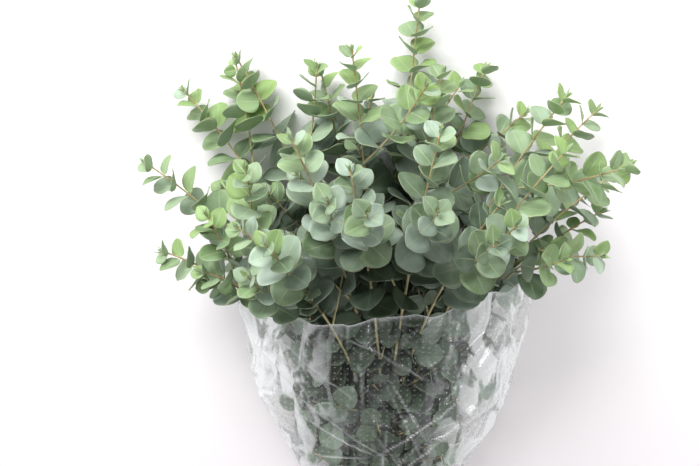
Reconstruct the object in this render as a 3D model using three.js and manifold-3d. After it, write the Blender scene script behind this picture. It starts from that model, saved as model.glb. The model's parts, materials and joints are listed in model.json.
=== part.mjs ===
// A florist's bunch of eucalyptus, lying on a table: twenty cut stems with round paired leaves,
// held near their cut ends by an elastic band and wrapped in a tapered sleeve of clear film.
// Millimetres. +Z is up from the table, +Y runs along the bunch from the cut ends to the leaf tips,
// and the origin is under the middle of the bunch, on the table.

import * as THREE from "three";
import { mergeVertices } from "three/addons/utils/BufferGeometryUtils.js";
import Module from "manifold-3d";

const wasm = await Module();
wasm.setup();

// Where each stem's tip is, before the bunch is centred: x, distance from the cut ends, height.
// Each layer lies on the one before it and is listed from left to right.
const TIP_LAYERS = [
  [
    [-258, 690, 34],
    [-190, 732, 32],
    [-84, 716, 30],
    [40, 800, 40],
    [126, 718, 32],
    [270, 664, 34],
  ],
  [
    [-282, 500, 112],
    [-292, 614, 120],
    [-44, 750, 118],
    [62, 726, 128],
    [210, 696, 122],
    [292, 612, 116],
    [266, 552, 112],
  ],
  [
    [-232, 484, 138],
    [-176, 560, 204],
    [-112, 664, 206],
    [-46, 632, 226],
    [52, 676, 232],
    [126, 590, 208],
    [196, 650, 208],
  ],
];

// Stems
const STEM_RADIUS = 2.9;
const TIP_RADIUS = 0.9;
const STEM_PITCH = 6.3;
const ROW_PITCH = 5.5;
const STEM_SIDES = 5;
// From a stem's middle to the flat side that it lies on.
const STEM_FLAT = STEM_RADIUS * Math.cos(Math.PI / STEM_SIDES);
const STRAIGHT_END = 112;
const LEAVE_SHARE = 0.24;
const ARRIVE_SHARE = 0.36;
const STEM_STEPS = 8;
const CUT_STAGGER = 12;
// Stems point away from here at their tips, and leaves turn towards the light from here.
const CANOPY = new THREE.Vector3(0, 400, 70);
// How much of that direction's rise a stem keeps at its tip.
const TIP_RISE = 0.35;
// A twig's direction is read over this distance to either side.
const AIM_STEP = 8;

// Side shoots. Starts are shares of the stem's length.
const SHOOT_STARTS = [0.5, 0.64, 0.77];
const SHOOT_START_SPREAD = [-0.04, 0.06];
const SHOOT_RADIUS = 1.5;
const SHOOT_LENGTH = [112, 168];
const SHOOT_SHORTENING = 0.02;
const SHOOT_SPLAY = [28, 58];
const SHOOT_STEPS = 3;
const SHOOT_SIDES = 3;
const SHOOT_TRIES = 24;
const SHOOT_FALL_IN = 0.5;
const SHOOT_BARE_BELOW = 14;

// Leaves. Sizes and distances from a twig's tip, angles in degrees, spreads to either side.
const LEAF_THICKNESS = 0.8;
const TIP_LEAF = 20;
const FULL_LEAF = 44;
const FULL_AT = 120;
const GROWTH_POWER = 0.75;
const FIRST_PAIR = 10;
const PAIR_PITCH = [15, 30];
const LOW_PITCH = 46;
const STEM_LEAFY = 240;
const BARE_BELOW = 190;
const FIRST_TURN = [30, 60];
const PAIR_TURN_SPREAD = 20;
const LEAF_TRIES = 14;
const MOST_PRESSED = 7;
const LIGHT_TURN = 0.6;
const ROOT_SHARE = 0.5;
const FULL_LEAN = 66;
const YOUNG_LEAN = 40;
const LEAN_SPREAD = 20;
const TURN_SPREAD = 28;
const ROLL_SPREAD = 50;
const LENGTH_SPREAD = [0.9, 1.08];
const WIDTH_SPREAD = [0.92, 1.06];
const YOUNG_WIDTH = 0.62;
const FULL_WIDTH = 1;
const WIDE_FROM = 0.75;
const BEND = [-0.16, 0.1];
const CUP = [0, 0.4];
// Later tries at a leaf spread further, and from the fifth on they are smaller.
const FIRST_SPREAD = 0.4;
const MORE_SPREAD = 0.13;
const FULL_TRIES = 4;
const SHRINKING = 0.045;
// A blade's outline goes from its root round its tip, as shares of its length and width. Both its
// faces are split into the same triangles, with creases between them.
const ROUND_BLADE = {
  outline: [
    [0.36, 0.49],
    [0.93, 0.31],
    [0.93, -0.31],
    [0.36, -0.49],
  ],
  triangles: [
    [0, 1, 4],
    [1, 2, 4],
    [2, 3, 4],
  ],
  creases: [
    [1, 4],
    [2, 4],
  ],
};
const TIP_BLADE = {
  outline: [
    [0.42, 0.5],
    [1, 0],
    [0.42, -0.5],
  ],
  triangles: [
    [0, 1, 3],
    [1, 2, 3],
  ],
  creases: [[1, 3]],
};
// Large leaves above the film's rim, and the pair at the tip of each twig, are in the solids. The
// others are grown too, so that they keep their room, and left out.
const LARGE_LEAF = 39.2;

// Film sleeve. Widths and heights are half the section's at its low end, what it gains up to its rim,
// and the power of that gain.
const FILM = 0.8;
const SLEEVE_LOW = 58;
const SLEEVE_RIM = 455;
const RIM_SLOPE = 26;
const RIM_SAG = 26;
const SLEEVE_HALF_WIDTHS = [48, 140, 2.2];
const SLEEVE_HALF_HEIGHTS = [21, 70, 0.8];
// The height of the section's middle, as a share of its half height.
const SLEEVE_SINK = 0.86;
const SLEEVE_SIDES = 18;
const SLEEVE_STEPS = 8;
const SLEEVE_CLEARANCE = 3;
// How far beyond the rim a leaf still lies on the film rather than on the table.
const LIP = 30;
const EDGE_STEPS = 4;
const ROUNDING = 0.01;

// Elastic band
const BAND_AT = 84;
const BAND_WIDTH = 6;
const BAND_THICKNESS = 1.4;
const BAND_INNER_CORNER = 2.2;
const BAND_CORNER_SEGMENTS = 2;

// Clearance between pieces, and how much larger the hulls are that it is measured with.
const GAP = 0.35;
const HULL_MARGIN = 1.25;
const REACH_MARGIN = 3;

// Points closer together than this are one point, and solids are simplified to within that.
const MERGED = 1e-4;
const SIMPLIFIED = 0.05;
// A smaller determinant than this means an edge that runs along a face.
const PARALLEL = 1e-9;
// The band lies on the film, and the stems lie on the band.
const BUNDLE_FLOOR = FILM + GAP + BAND_THICKNESS + GAP;
const UP = new THREE.Vector3(0, 0, 1);
const DEGREE = Math.PI / 180;

// A linear congruential generator: its seeds, its rule and its range.
const SEEDS = [977, 131, 7];
const MULTIPLIER = 1664525;
const INCREMENT = 1013904223;
const RANGE = 2 ** 32;
const SKIPPED = 5;
// The draws of a stem: 0 is for its cut end and 1 to 3 are for its shoots.
const STEM_LEAVES_DRAW = 11;
const SHOOT_LEAVES_DRAW = 21;

/** A repeatable stream of numbers, so that the bunch grows the same way every time. */
class Draw {
  constructor(stem, shoot) {
    this.state = (stem * SEEDS[0] + shoot * SEEDS[1] + SEEDS[2]) % RANGE;
    for (let i = 0; i < SKIPPED; i++) this.between(0, 1);
  }

  between(low, high) {
    this.state = (this.state * MULTIPLIER + INCREMENT) % RANGE;
    return low + ((high - low) * this.state) / RANGE;
  }

  around(spread) {
    return this.between(-spread, spread);
  }
}

const mix = (a, b, t) => a + (b - a) * t;
const along = (origin, direction, length) => origin.clone().addScaledVector(direction, length);

/** Half width and half height of the sleeve's section at a distance from the cut ends. */
function sleeveSection(y) {
  const rise = Math.min(Math.max((y - SLEEVE_LOW) / (SLEEVE_RIM - SLEEVE_LOW), 0), 1);
  const [narrow, flare, turn] = SLEEVE_HALF_WIDTHS;
  const [low, growth, power] = SLEEVE_HALF_HEIGHTS;
  return {
    halfWidth: narrow + flare * (1 - (1 - rise) ** turn),
    halfHeight: low + growth * rise ** power,
  };
}

/** How far up the bunch the film reaches, at an angle round its section. */
function rimAt(angle) {
  return SLEEVE_RIM + RIM_SLOPE * Math.cos(angle) - RIM_SAG * Math.max(0, Math.sin(angle));
}

/** Where a point lies: below 1 inside the film's section, above 1 outside it, and the film's rim there. */
function placeInSleeve(point) {
  const { halfWidth, halfHeight } = sleeveSection(point.y);
  const x = point.x / halfWidth;
  const z = (point.z - SLEEVE_SINK * halfHeight) / halfHeight;
  return { ratio: Math.hypot(x, z), rim: rimAt(Math.atan2(z, x)), halfHeight };
}

/** The lowest a leaf or shoot may lie: on the table, or on the film inside the sleeve. */
function floorAt(point) {
  const { ratio, rim } = placeInSleeve(point);
  return point.y < rim + LIP && ratio < 1 ? FILM + GAP : 0;
}

/** Whether points all lie on one side of the film, and clear of it. */
function clearOfSleeve(points, margin) {
  let inside = false;
  let outside = false;
  for (const point of points) {
    const { ratio, rim, halfHeight } = placeInSleeve(point);
    if (point.y > rim + margin) continue;
    if (point.y < SLEEVE_LOW - margin) continue;
    const share = (margin + FILM) / halfHeight;
    if (ratio > 1 - share && ratio < 1 + share) return false;
    if (ratio < 1 && point.z < FILM + GAP + LEAF_THICKNESS / 2 - ROUNDING) return false;
    if (ratio < 1) inside = true;
    else outside = true;
  }
  return !(inside && outside);
}

/** A stem or shoot as a run of straight stretches that thins towards its tip. */
class Twig {
  constructor(points, startRadius, endRadius) {
    this.points = points;
    this.lengths = [0];
    for (let i = 1; i < points.length; i++)
      this.lengths.push(this.lengths[i - 1] + points[i].distanceTo(points[i - 1]));
    this.length = this.lengths[points.length - 1];
    this.radii = this.lengths.map((s) => mix(startRadius, endRadius, s / this.length));
  }

  at(s) {
    const clamped = Math.min(Math.max(s, 0), this.length);
    let i = 1;
    while (i < this.points.length - 1 && this.lengths[i] < clamped) i++;
    const share = (clamped - this.lengths[i - 1]) / (this.lengths[i] - this.lengths[i - 1]);
    return this.points[i - 1].clone().lerp(this.points[i], share);
  }

  radiusAt(s) {
    return mix(this.radii[0], this.radii[this.radii.length - 1], s / this.length);
  }

  direction(s) {
    return this.at(s + AIM_STEP).sub(this.at(s - AIM_STEP)).normalize();
  }
}

/** A stem's path: straight through the band, then one curve that arrives pointing out of the canopy. */
function stemPath(base, tip, cut) {
  const start = new THREE.Vector3(base.x, STRAIGHT_END, base.z);
  const outward = tip.clone().sub(CANOPY).multiply(new THREE.Vector3(1, 1, TIP_RISE)).normalize();
  const reach = start.distanceTo(tip);
  const curve = new THREE.CubicBezierCurve3(
    start,
    start.clone().add(new THREE.Vector3(0, LEAVE_SHARE * reach, 0)),
    along(tip, outward, -ARRIVE_SHARE * reach),
    tip,
  );
  return [new THREE.Vector3(base.x, cut, base.z), ...curve.getPoints(STEM_STEPS)];
}

/** Two directions square to a stem's own, to measure angles round it from. */
function around(direction) {
  const side = direction.clone().cross(UP).normalize();
  return { side, over: side.clone().cross(direction).normalize() };
}

function radial(direction, angle) {
  const { side, over } = around(direction);
  return side.multiplyScalar(Math.cos(angle)).addScaledVector(over, Math.sin(angle));
}

/** A side shoot's path, curving back towards its stem's own direction. */
function shootPath(stem, s, length, splay, angle) {
  const start = stem.at(s);
  const direction = stem.direction(s);
  const out = radial(direction, angle);
  const first = direction.clone().multiplyScalar(Math.cos(splay)).addScaledVector(out, Math.sin(splay));
  const last = first.clone().addScaledVector(direction, SHOOT_FALL_IN).normalize();
  const middle = along(start, first, length / 2);
  const curve = new THREE.QuadraticBezierCurve3(start, middle, along(middle, last, length / 2));
  return curve.getPoints(SHOOT_STEPS);
}

/** The corners of a leaf's middle surface: the root, then round its outline. */
function bladePoints(leaf) {
  const { root, lead, side, face, length, width, bend, cup } = leaf;
  const outline = leaf.blade.outline.map(([u, v]) => {
    const point = along(root, lead, u * length).addScaledVector(side, v * width);
    point.addScaledVector(face, bend * u * u * length + cup * v * v * width);
    point.z = Math.max(point.z, floorAt(point) + LEAF_THICKNESS / 2);
    return point;
  });
  return [root.clone(), ...outline];
}

/** How far a leaf would reach below what it lies on, if it didn't lie flat there. */
function pressedDepth(leaf) {
  const tip = along(leaf.root, leaf.lead, leaf.length);
  return floorAt(tip) - tip.z;
}

// Clearance. A shape is the edges of a thin piece and the faces of a closed hull one gap outside it,
// so two pieces are clear of each other when no edge of one passes through a face of the other.

function addPoint(list, ...points) {
  for (const point of points) list.push(point.x, point.y, point.z);
}

function makeShape(owner, points, edges, faces) {
  const box = new THREE.Box3().setFromPoints(points);
  const centre = box.getCenter(new THREE.Vector3());
  return { owner, centre, radius: box.max.distanceTo(centre) + REACH_MARGIN, edges, faces };
}

/** A leaf's shape. Both leaves of a pair have the same key, and may touch each other. */
function bladeShape(owner, key, { points, face, blade }) {
  const n = points.length;
  const edges = [];
  for (let i = 0; i < n; i++) addPoint(edges, points[i], points[(i + 1) % n]);
  for (const [i, j] of blade.creases) addPoint(edges, points[i], points[j]);
  const centre = new THREE.Vector3();
  for (const point of points) centre.addScaledVector(point, 1 / n);
  const lift = LEAF_THICKNESS + GAP;
  const wide = points.map((p) => along(p, p.clone().sub(centre).normalize(), lift));
  const top = wide.map((p) => along(p, face, lift));
  const low = wide.map((p) => along(p, face, -lift));
  const faces = [];
  for (const [i, j, k] of blade.triangles) {
    addPoint(faces, top[i], top[j], top[k]);
    addPoint(faces, low[i], low[k], low[j]);
  }
  for (let i = 0; i < n; i++) {
    const j = (i + 1) % n;
    addPoint(faces, low[i], low[j], top[j]);
    addPoint(faces, low[i], top[j], top[i]);
  }
  return { key, ...makeShape(owner, points, edges, faces) };
}

function stretchShape(owner, from, to, radius) {
  const direction = to.clone().sub(from).normalize();
  const corners = [0, 1, 2, 3].map((k) => radial(direction, (k * Math.PI) / 2));
  const hull = radius * HULL_MARGIN + LEAF_THICKNESS + GAP;
  const edges = [];
  const faces = [];
  corners.forEach((corner, k) => {
    const next = corners[(k + 1) % 4];
    addPoint(edges, along(from, corner, radius), along(to, corner, radius));
    addPoint(faces, along(from, corner, hull), along(from, next, hull), along(to, next, hull));
    addPoint(faces, along(from, corner, hull), along(to, next, hull), along(to, corner, hull));
  });
  return makeShape(owner, [from, to], edges, faces);
}

function twigShapes(owner, twig) {
  return twig.points
    .slice(1)
    .map((point, i) => stretchShape(owner, twig.points[i], point, twig.radii[i]));
}

/** Whether the edge that starts at e[i] passes through the triangle that starts at f[j]. */
function passesThrough(e, i, f, j) {
  const dx = e[i + 3] - e[i];
  const dy = e[i + 4] - e[i + 1];
  const dz = e[i + 5] - e[i + 2];
  const ax = f[j + 3] - f[j];
  const ay = f[j + 4] - f[j + 1];
  const az = f[j + 5] - f[j + 2];
  const bx = f[j + 6] - f[j];
  const by = f[j + 7] - f[j + 1];
  const bz = f[j + 8] - f[j + 2];
  const px = dy * bz - dz * by;
  const py = dz * bx - dx * bz;
  const pz = dx * by - dy * bx;
  const det = ax * px + ay * py + az * pz;
  if (Math.abs(det) < PARALLEL) return false;
  const tx = e[i] - f[j];
  const ty = e[i + 1] - f[j + 1];
  const tz = e[i + 2] - f[j + 2];
  const u = (tx * px + ty * py + tz * pz) / det;
  if (u < 0 || u > 1) return false;
  const qx = ty * az - tz * ay;
  const qy = tz * ax - tx * az;
  const qz = tx * ay - ty * ax;
  const v = (dx * qx + dy * qy + dz * qz) / det;
  if (v < 0 || u + v > 1) return false;
  const t = (bx * qx + by * qy + bz * qz) / det;
  return t >= 0 && t <= 1;
}

function crosses(edges, faces) {
  for (let i = 0; i < edges.length; i += 6)
    for (let j = 0; j < faces.length; j += 9) if (passesThrough(edges, i, faces, j)) return true;
  return false;
}

function touches(a, b) {
  if (a.centre.distanceTo(b.centre) > a.radius + b.radius) return false;
  return crosses(a.edges, b.faces) || crosses(b.edges, a.faces);
}

const twigsSoFar = [];
const bladesSoFar = [];

/** Points at equal steps along a shape's edges, ends included. */
function alongEdges(edges) {
  const points = [];
  for (let i = 0; i < edges.length; i += 6) {
    const from = new THREE.Vector3().fromArray(edges, i);
    const to = new THREE.Vector3().fromArray(edges, i + 3);
    for (let step = 0; step <= EDGE_STEPS; step++)
      points.push(from.clone().lerp(to, step / EDGE_STEPS));
  }
  return points;
}

/** Whether a shoot's stretches clear the film, the table and every other stem. */
function shootFits(owner, twig) {
  const shapes = twigShapes(owner, twig);
  if (shapes.some((shape) => !clearOfSleeve(alongEdges(shape.edges), SLEEVE_CLEARANCE))) return false;
  if (twig.points.some((p, i) => p.z < floorAt(p) + twig.radii[i] + GAP)) return false;
  return !shapes.some((a) => twigsSoFar.some((b) => b.owner !== owner && touches(a, b)));
}

/** Whether a leaf clears the film, the other stems and every leaf placed before it. */
function leafFits(owner, shape) {
  if (!clearOfSleeve(alongEdges(shape.edges), SLEEVE_CLEARANCE)) return false;
  if (twigsSoFar.some((b) => b.owner !== owner && touches(shape, b))) return false;
  return !bladesSoFar.some((b) => b.key !== shape.key && touches(shape, b));
}

/** One try at a leaf: later tries turn it further from its first place, and then make it smaller. */
function tryLeaf(twig, s, angle, size, blade, draw, attempt) {
  const wander = FIRST_SPREAD + MORE_SPREAD * attempt;
  const direction = twig.direction(s);
  const out = radial(direction, angle + draw.around(TURN_SPREAD) * DEGREE * wander);
  const young = 1 - size / FULL_LEAF;
  const lean = (mix(FULL_LEAN, YOUNG_LEAN, young) + draw.around(LEAN_SPREAD) * wander) * DEGREE;
  const lead = direction.clone().multiplyScalar(Math.cos(lean)).addScaledVector(out, Math.sin(lean));
  const root = along(twig.at(s), out, ROOT_SHARE * twig.radiusAt(s));
  const light = root.clone().sub(CANOPY).normalize().add(UP).normalize();
  const face = direction.clone().addScaledVector(light, LIGHT_TURN);
  face.addScaledVector(lead, -face.dot(lead)).normalize();
  face.applyAxisAngle(lead, draw.around(ROLL_SPREAD) * DEGREE * wander);
  const shrink = 1 - SHRINKING * Math.max(0, attempt - FULL_TRIES);
  const length = size * shrink * draw.between(...LENGTH_SPREAD);
  const slender = mix(YOUNG_WIDTH, FULL_WIDTH, Math.min(1, size / (WIDE_FROM * FULL_LEAF)));
  const leaf = {
    blade,
    root,
    lead,
    face,
    side: lead.clone().cross(face).normalize(),
    length,
    width: length * slender * draw.between(...WIDTH_SPREAD),
    bend: draw.between(...BEND),
    cup: draw.between(...CUP),
  };
  leaf.points = bladePoints(leaf);
  return leaf;
}

/** Places a pair of opposite leaves on a twig, each in the first try that is clear, and keeps them. */
function placePair(owner, twig, key, s, angle, size, blade, draw) {
  const placed = [];
  for (const turn of [0, Math.PI]) {
    for (let attempt = 0; attempt < LEAF_TRIES; attempt++) {
      const leaf = tryLeaf(twig, s, angle + turn, size, blade, draw, attempt);
      if (pressedDepth(leaf) > MOST_PRESSED) continue;
      const shape = bladeShape(owner, key, leaf);
      if (!leafFits(owner, shape)) continue;
      bladesSoFar.push(shape);
      placed.push(leaf);
      break;
    }
  }
  return placed;
}

/** Distances from a twig's tip to its leaf pairs, close together near the tip. */
function pairDistances(leafy, end) {
  const distances = [];
  let distance = FIRST_PAIR;
  while (distance < end) {
    distances.push(distance);
    const full = Math.min(1, distance / FULL_AT);
    distance += distance < leafy ? mix(PAIR_PITCH[0], PAIR_PITCH[1], full) : LOW_PITCH;
  }
  return distances;
}

function leafOut(owner, twig, shoot, leafy, end, draw) {
  const start = draw.between(...FIRST_TURN) * DEGREE;
  const leaves = [];
  pairDistances(leafy, end).forEach((distance, pair) => {
    const size = mix(TIP_LEAF, FULL_LEAF, Math.min(1, distance / FULL_AT) ** GROWTH_POWER);
    const angle = start + (pair * Math.PI) / 2 + draw.around(PAIR_TURN_SPREAD) * DEGREE;
    const key = `${owner}/${shoot}/${pair}`;
    const blade = pair === 0 ? TIP_BLADE : ROUND_BLADE;
    leaves.push(...placePair(owner, twig, key, twig.length - distance, angle, size, blade, draw));
  });
  return leaves;
}

/** Every stem with its side shoots and leaves. */
function growBunch() {
  const stems = [];
  TIP_LAYERS.forEach((layer, row) => {
    layer.forEach(([x, y, z], column) => {
      const owner = stems.length;
      const draw = new Draw(owner, 0);
      const base = {
        x: (column - (layer.length - 1) / 2) * STEM_PITCH,
        z: BUNDLE_FLOOR + STEM_FLAT + row * ROW_PITCH,
      };
      const cut = draw.between(0, CUT_STAGGER);
      const points = stemPath(base, new THREE.Vector3(x, y, z), cut);
      const twig = new Twig(points, STEM_RADIUS, TIP_RADIUS);
      twigsSoFar.push(...twigShapes(owner, twig));
      stems.push({ owner, twig, shoots: [], leaves: [] });
    });
  });
  for (const stem of stems)
    SHOOT_STARTS.forEach((share, index) => {
      const draw = new Draw(stem.owner, index + 1);
      for (let attempt = 0; attempt < SHOOT_TRIES; attempt++) {
        const s = stem.twig.length * (share + draw.between(...SHOOT_START_SPREAD));
        const length = draw.between(...SHOOT_LENGTH) * (1 - SHOOT_SHORTENING * attempt);
        const splay = draw.between(...SHOOT_SPLAY) * DEGREE;
        const path = shootPath(stem.twig, s, length, splay, draw.between(0, 2 * Math.PI));
        const shoot = new Twig(path, SHOOT_RADIUS, TIP_RADIUS);
        if (!shootFits(stem.owner, shoot)) continue;
        twigsSoFar.push(...twigShapes(stem.owner, shoot));
        stem.shoots.push(shoot);
        break;
      }
    });
  for (const stem of stems) {
    const draw = new Draw(stem.owner, STEM_LEAVES_DRAW);
    const end = stem.twig.length - BARE_BELOW;
    stem.leaves.push(...leafOut(stem.owner, stem.twig, 0, STEM_LEAFY, end, draw));
  }
  for (const stem of stems)
    stem.shoots.forEach((shoot, index) => {
      const draw = new Draw(stem.owner, SHOOT_LEAVES_DRAW + index);
      const end = shoot.length - SHOOT_BARE_BELOW;
      stem.leaves.push(...leafOut(stem.owner, shoot, index + 1, shoot.length, end, draw));
    });
  return stems;
}

// Solids

function geometryOf(vertices, triangles) {
  const positions = new Float32Array(vertices.flatMap((v) => [v.x, v.y, v.z]));
  const geometry = new THREE.BufferGeometry();
  geometry.setAttribute("position", new THREE.BufferAttribute(positions, 3));
  geometry.setIndex(triangles);
  return geometry;
}

function solidOf(geometry) {
  const merged = mergeVertices(geometry.deleteAttribute("normal").deleteAttribute("uv"), MERGED);
  return new wasm.Manifold(
    new wasm.Mesh({
      numProp: 3,
      vertProperties: new Float32Array(merged.attributes.position.array),
      triVerts: new Uint32Array(merged.index.array),
    }),
  );
}

function geometryFrom(solid) {
  const mesh = solid.getMesh();
  const geometry = new THREE.BufferGeometry();
  geometry.setAttribute("position", new THREE.BufferAttribute(mesh.vertProperties, 3));
  geometry.setIndex(new THREE.BufferAttribute(mesh.triVerts, 1));
  geometry.computeVertexNormals();
  return geometry;
}

/** A closed solid through rings of equal numbers of points, capped at both ends. */
function loft(rings) {
  const n = rings[0].length;
  const triangles = [];
  for (let r = 0; r + 1 < rings.length; r++)
    for (let k = 0; k < n; k++) {
      const a = r * n + k;
      const b = r * n + ((k + 1) % n);
      triangles.push(a, b, b + n, a, b + n, a + n);
    }
  const last = (rings.length - 1) * n;
  for (let k = 1; k + 1 < n; k++) {
    triangles.push(0, k + 1, k);
    triangles.push(last, last + k, last + k + 1);
  }
  return geometryOf(rings.flat(), triangles);
}

function twigSolid(twig, sides) {
  const last = twig.points.length - 1;
  const rings = twig.points.map((point, i) => {
    const before = twig.points[Math.max(i - 1, 0)];
    const after = twig.points[Math.min(i + 1, last)];
    const direction = after.clone().sub(before).normalize();
    return Array.from({ length: sides }, (_, k) =>
      along(point, radial(direction, (-2 * Math.PI * k) / sides), twig.radii[i]),
    );
  });
  return solidOf(loft(rings));
}

function bladeSolid(leaf) {
  const half = LEAF_THICKNESS / 2;
  const n = leaf.points.length;
  const top = leaf.points.map((p) => along(p, leaf.face, half));
  const low = leaf.points.map((p) => along(p, leaf.face, -half));
  const triangles = [];
  for (const [i, j, k] of leaf.blade.triangles) {
    triangles.push(i, j, k);
    triangles.push(n + i, n + k, n + j);
  }
  for (let i = 0; i < n; i++) {
    const j = (i + 1) % n;
    triangles.push(n + i, n + j, j, n + i, j, i);
  }
  return solidOf(geometryOf([...top, ...low], triangles));
}

/** Whether a leaf is in the solids: those that the film hides, and small ones, are left out. */
function isShown(leaf) {
  if (leaf.blade === TIP_BLADE) return true;
  const { ratio, rim } = placeInSleeve(leaf.root);
  return leaf.length >= LARGE_LEAF && (ratio > 1 || leaf.root.y > rim);
}

function stemGeometry(stem) {
  const pieces = [twigSolid(stem.twig, STEM_SIDES)];
  for (const shoot of stem.shoots) pieces.push(twigSolid(shoot, SHOOT_SIDES));
  for (const leaf of stem.leaves) if (isShown(leaf)) pieces.push(bladeSolid(leaf));
  return geometryFrom(wasm.Manifold.union(pieces).simplify(SIMPLIFIED));
}

/** The film as a thin closed tube: a tapered section that lies flat where it touches the table. */
function sleeveGeometry() {
  const contact = Math.asin(SLEEVE_SINK);
  const turn = (Math.PI + 2 * contact) / SLEEVE_SIDES;
  const corner = 1 / Math.cos(turn / 2);
  const ring = (share, inset) =>
    Array.from({ length: SLEEVE_SIDES + 1 }, (_, k) => {
      const angle = Math.PI + contact - k * turn;
      const y = mix(SLEEVE_LOW, rimAt(angle), share);
      const { halfWidth, halfHeight } = sleeveSection(y);
      const z = halfHeight * SLEEVE_SINK + (halfHeight * corner - inset) * Math.sin(angle);
      const x = (halfWidth * corner - inset) * Math.cos(angle);
      return new THREE.Vector3(x, y, Math.max(z, inset));
    });
  const shares = Array.from({ length: SLEEVE_STEPS + 1 }, (_, i) => i / SLEEVE_STEPS);
  const rings = [
    ...shares.map((share) => ring(share, 0)),
    ...shares.reverse().map((share) => ring(share, FILM)),
  ];
  const n = SLEEVE_SIDES + 1;
  const triangles = [];
  rings.forEach((_, r) => {
    const next = (r + 1) % rings.length;
    for (let k = 0; k < n; k++) {
      const a = r * n + k;
      const b = r * n + ((k + 1) % n);
      const c = next * n + ((k + 1) % n);
      const d = next * n + k;
      triangles.push(a, b, c, a, c, d);
    }
  });
  return geometryOf(rings.flat(), triangles);
}

/** A rounded rectangle for the band, as a shape or as the hole in one. */
function bandOutline(target, halfWidth, halfHeight, corner) {
  target.moveTo(halfWidth, halfHeight - corner);
  target.absarc(halfWidth - corner, halfHeight - corner, corner, 0, Math.PI / 2);
  target.absarc(corner - halfWidth, halfHeight - corner, corner, Math.PI / 2, Math.PI);
  target.absarc(corner - halfWidth, corner - halfHeight, corner, Math.PI, Math.PI * 1.5);
  target.absarc(halfWidth - corner, corner - halfHeight, corner, Math.PI * 1.5, Math.PI * 2);
  return target;
}

function bandGeometry() {
  const widest = Math.max(...TIP_LAYERS.map((layer) => layer.length));
  const halfWidth = ((widest - 1) / 2) * STEM_PITCH + STEM_RADIUS + GAP;
  const halfHeight = ((TIP_LAYERS.length - 1) / 2) * ROW_PITCH + STEM_FLAT + GAP;
  const middle = BUNDLE_FLOOR + STEM_FLAT + ((TIP_LAYERS.length - 1) / 2) * ROW_PITCH;
  const outline = bandOutline(
    new THREE.Shape(),
    halfWidth + BAND_THICKNESS,
    halfHeight + BAND_THICKNESS,
    BAND_INNER_CORNER + BAND_THICKNESS,
  );
  outline.holes.push(bandOutline(new THREE.Path(), halfWidth, halfHeight, BAND_INNER_CORNER));
  const options = { depth: BAND_WIDTH, bevelEnabled: false, curveSegments: BAND_CORNER_SEGMENTS };
  const geometry = new THREE.ExtrudeGeometry(outline, options);
  geometry.rotateX(Math.PI / 2);
  geometry.translate(0, BAND_AT + BAND_WIDTH / 2, middle);
  return geometry;
}

const leafMaterial = new THREE.MeshStandardMaterial({ color: 0x7f9a80, roughness: 0.62 });
const filmMaterial = new THREE.MeshStandardMaterial({
  color: 0xeef2f2,
  roughness: 0.12,
  transparent: true,
  opacity: 0.3,
});
const bandMaterial = new THREE.MeshStandardMaterial({ color: 0xb98a5a, roughness: 0.7 });

function named(name, geometry, material) {
  const mesh = new THREE.Mesh(geometry, material);
  mesh.name = name;
  return mesh;
}

const bunch = new THREE.Group();
bunch.name = "eucalyptus_bunch";
growBunch().forEach((stem, i) => {
  const name = `leafy_stem_${String(i + 1).padStart(2, "0")}`;
  bunch.add(named(name, stemGeometry(stem), leafMaterial));
});
bunch.add(named("film_sleeve", sleeveGeometry(), filmMaterial));
bunch.add(named("elastic_band", bandGeometry(), bandMaterial));

// The origin goes under the middle of the bunch, on the table.
const extent = new THREE.Box3().setFromObject(bunch);
const middle = extent.getCenter(new THREE.Vector3());
bunch.position.set(-middle.x, -middle.y, -extent.min.z);

export default bunch;
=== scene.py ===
"""A florist's bunch of eucalyptus: leafy stems, the clear film round them and the band inside it.

The stems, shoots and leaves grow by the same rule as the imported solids, so each finer leaf lies
where its solid is. Growth runs in the solids' own millimetres, and meshes are made in metres.
"""

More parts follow.
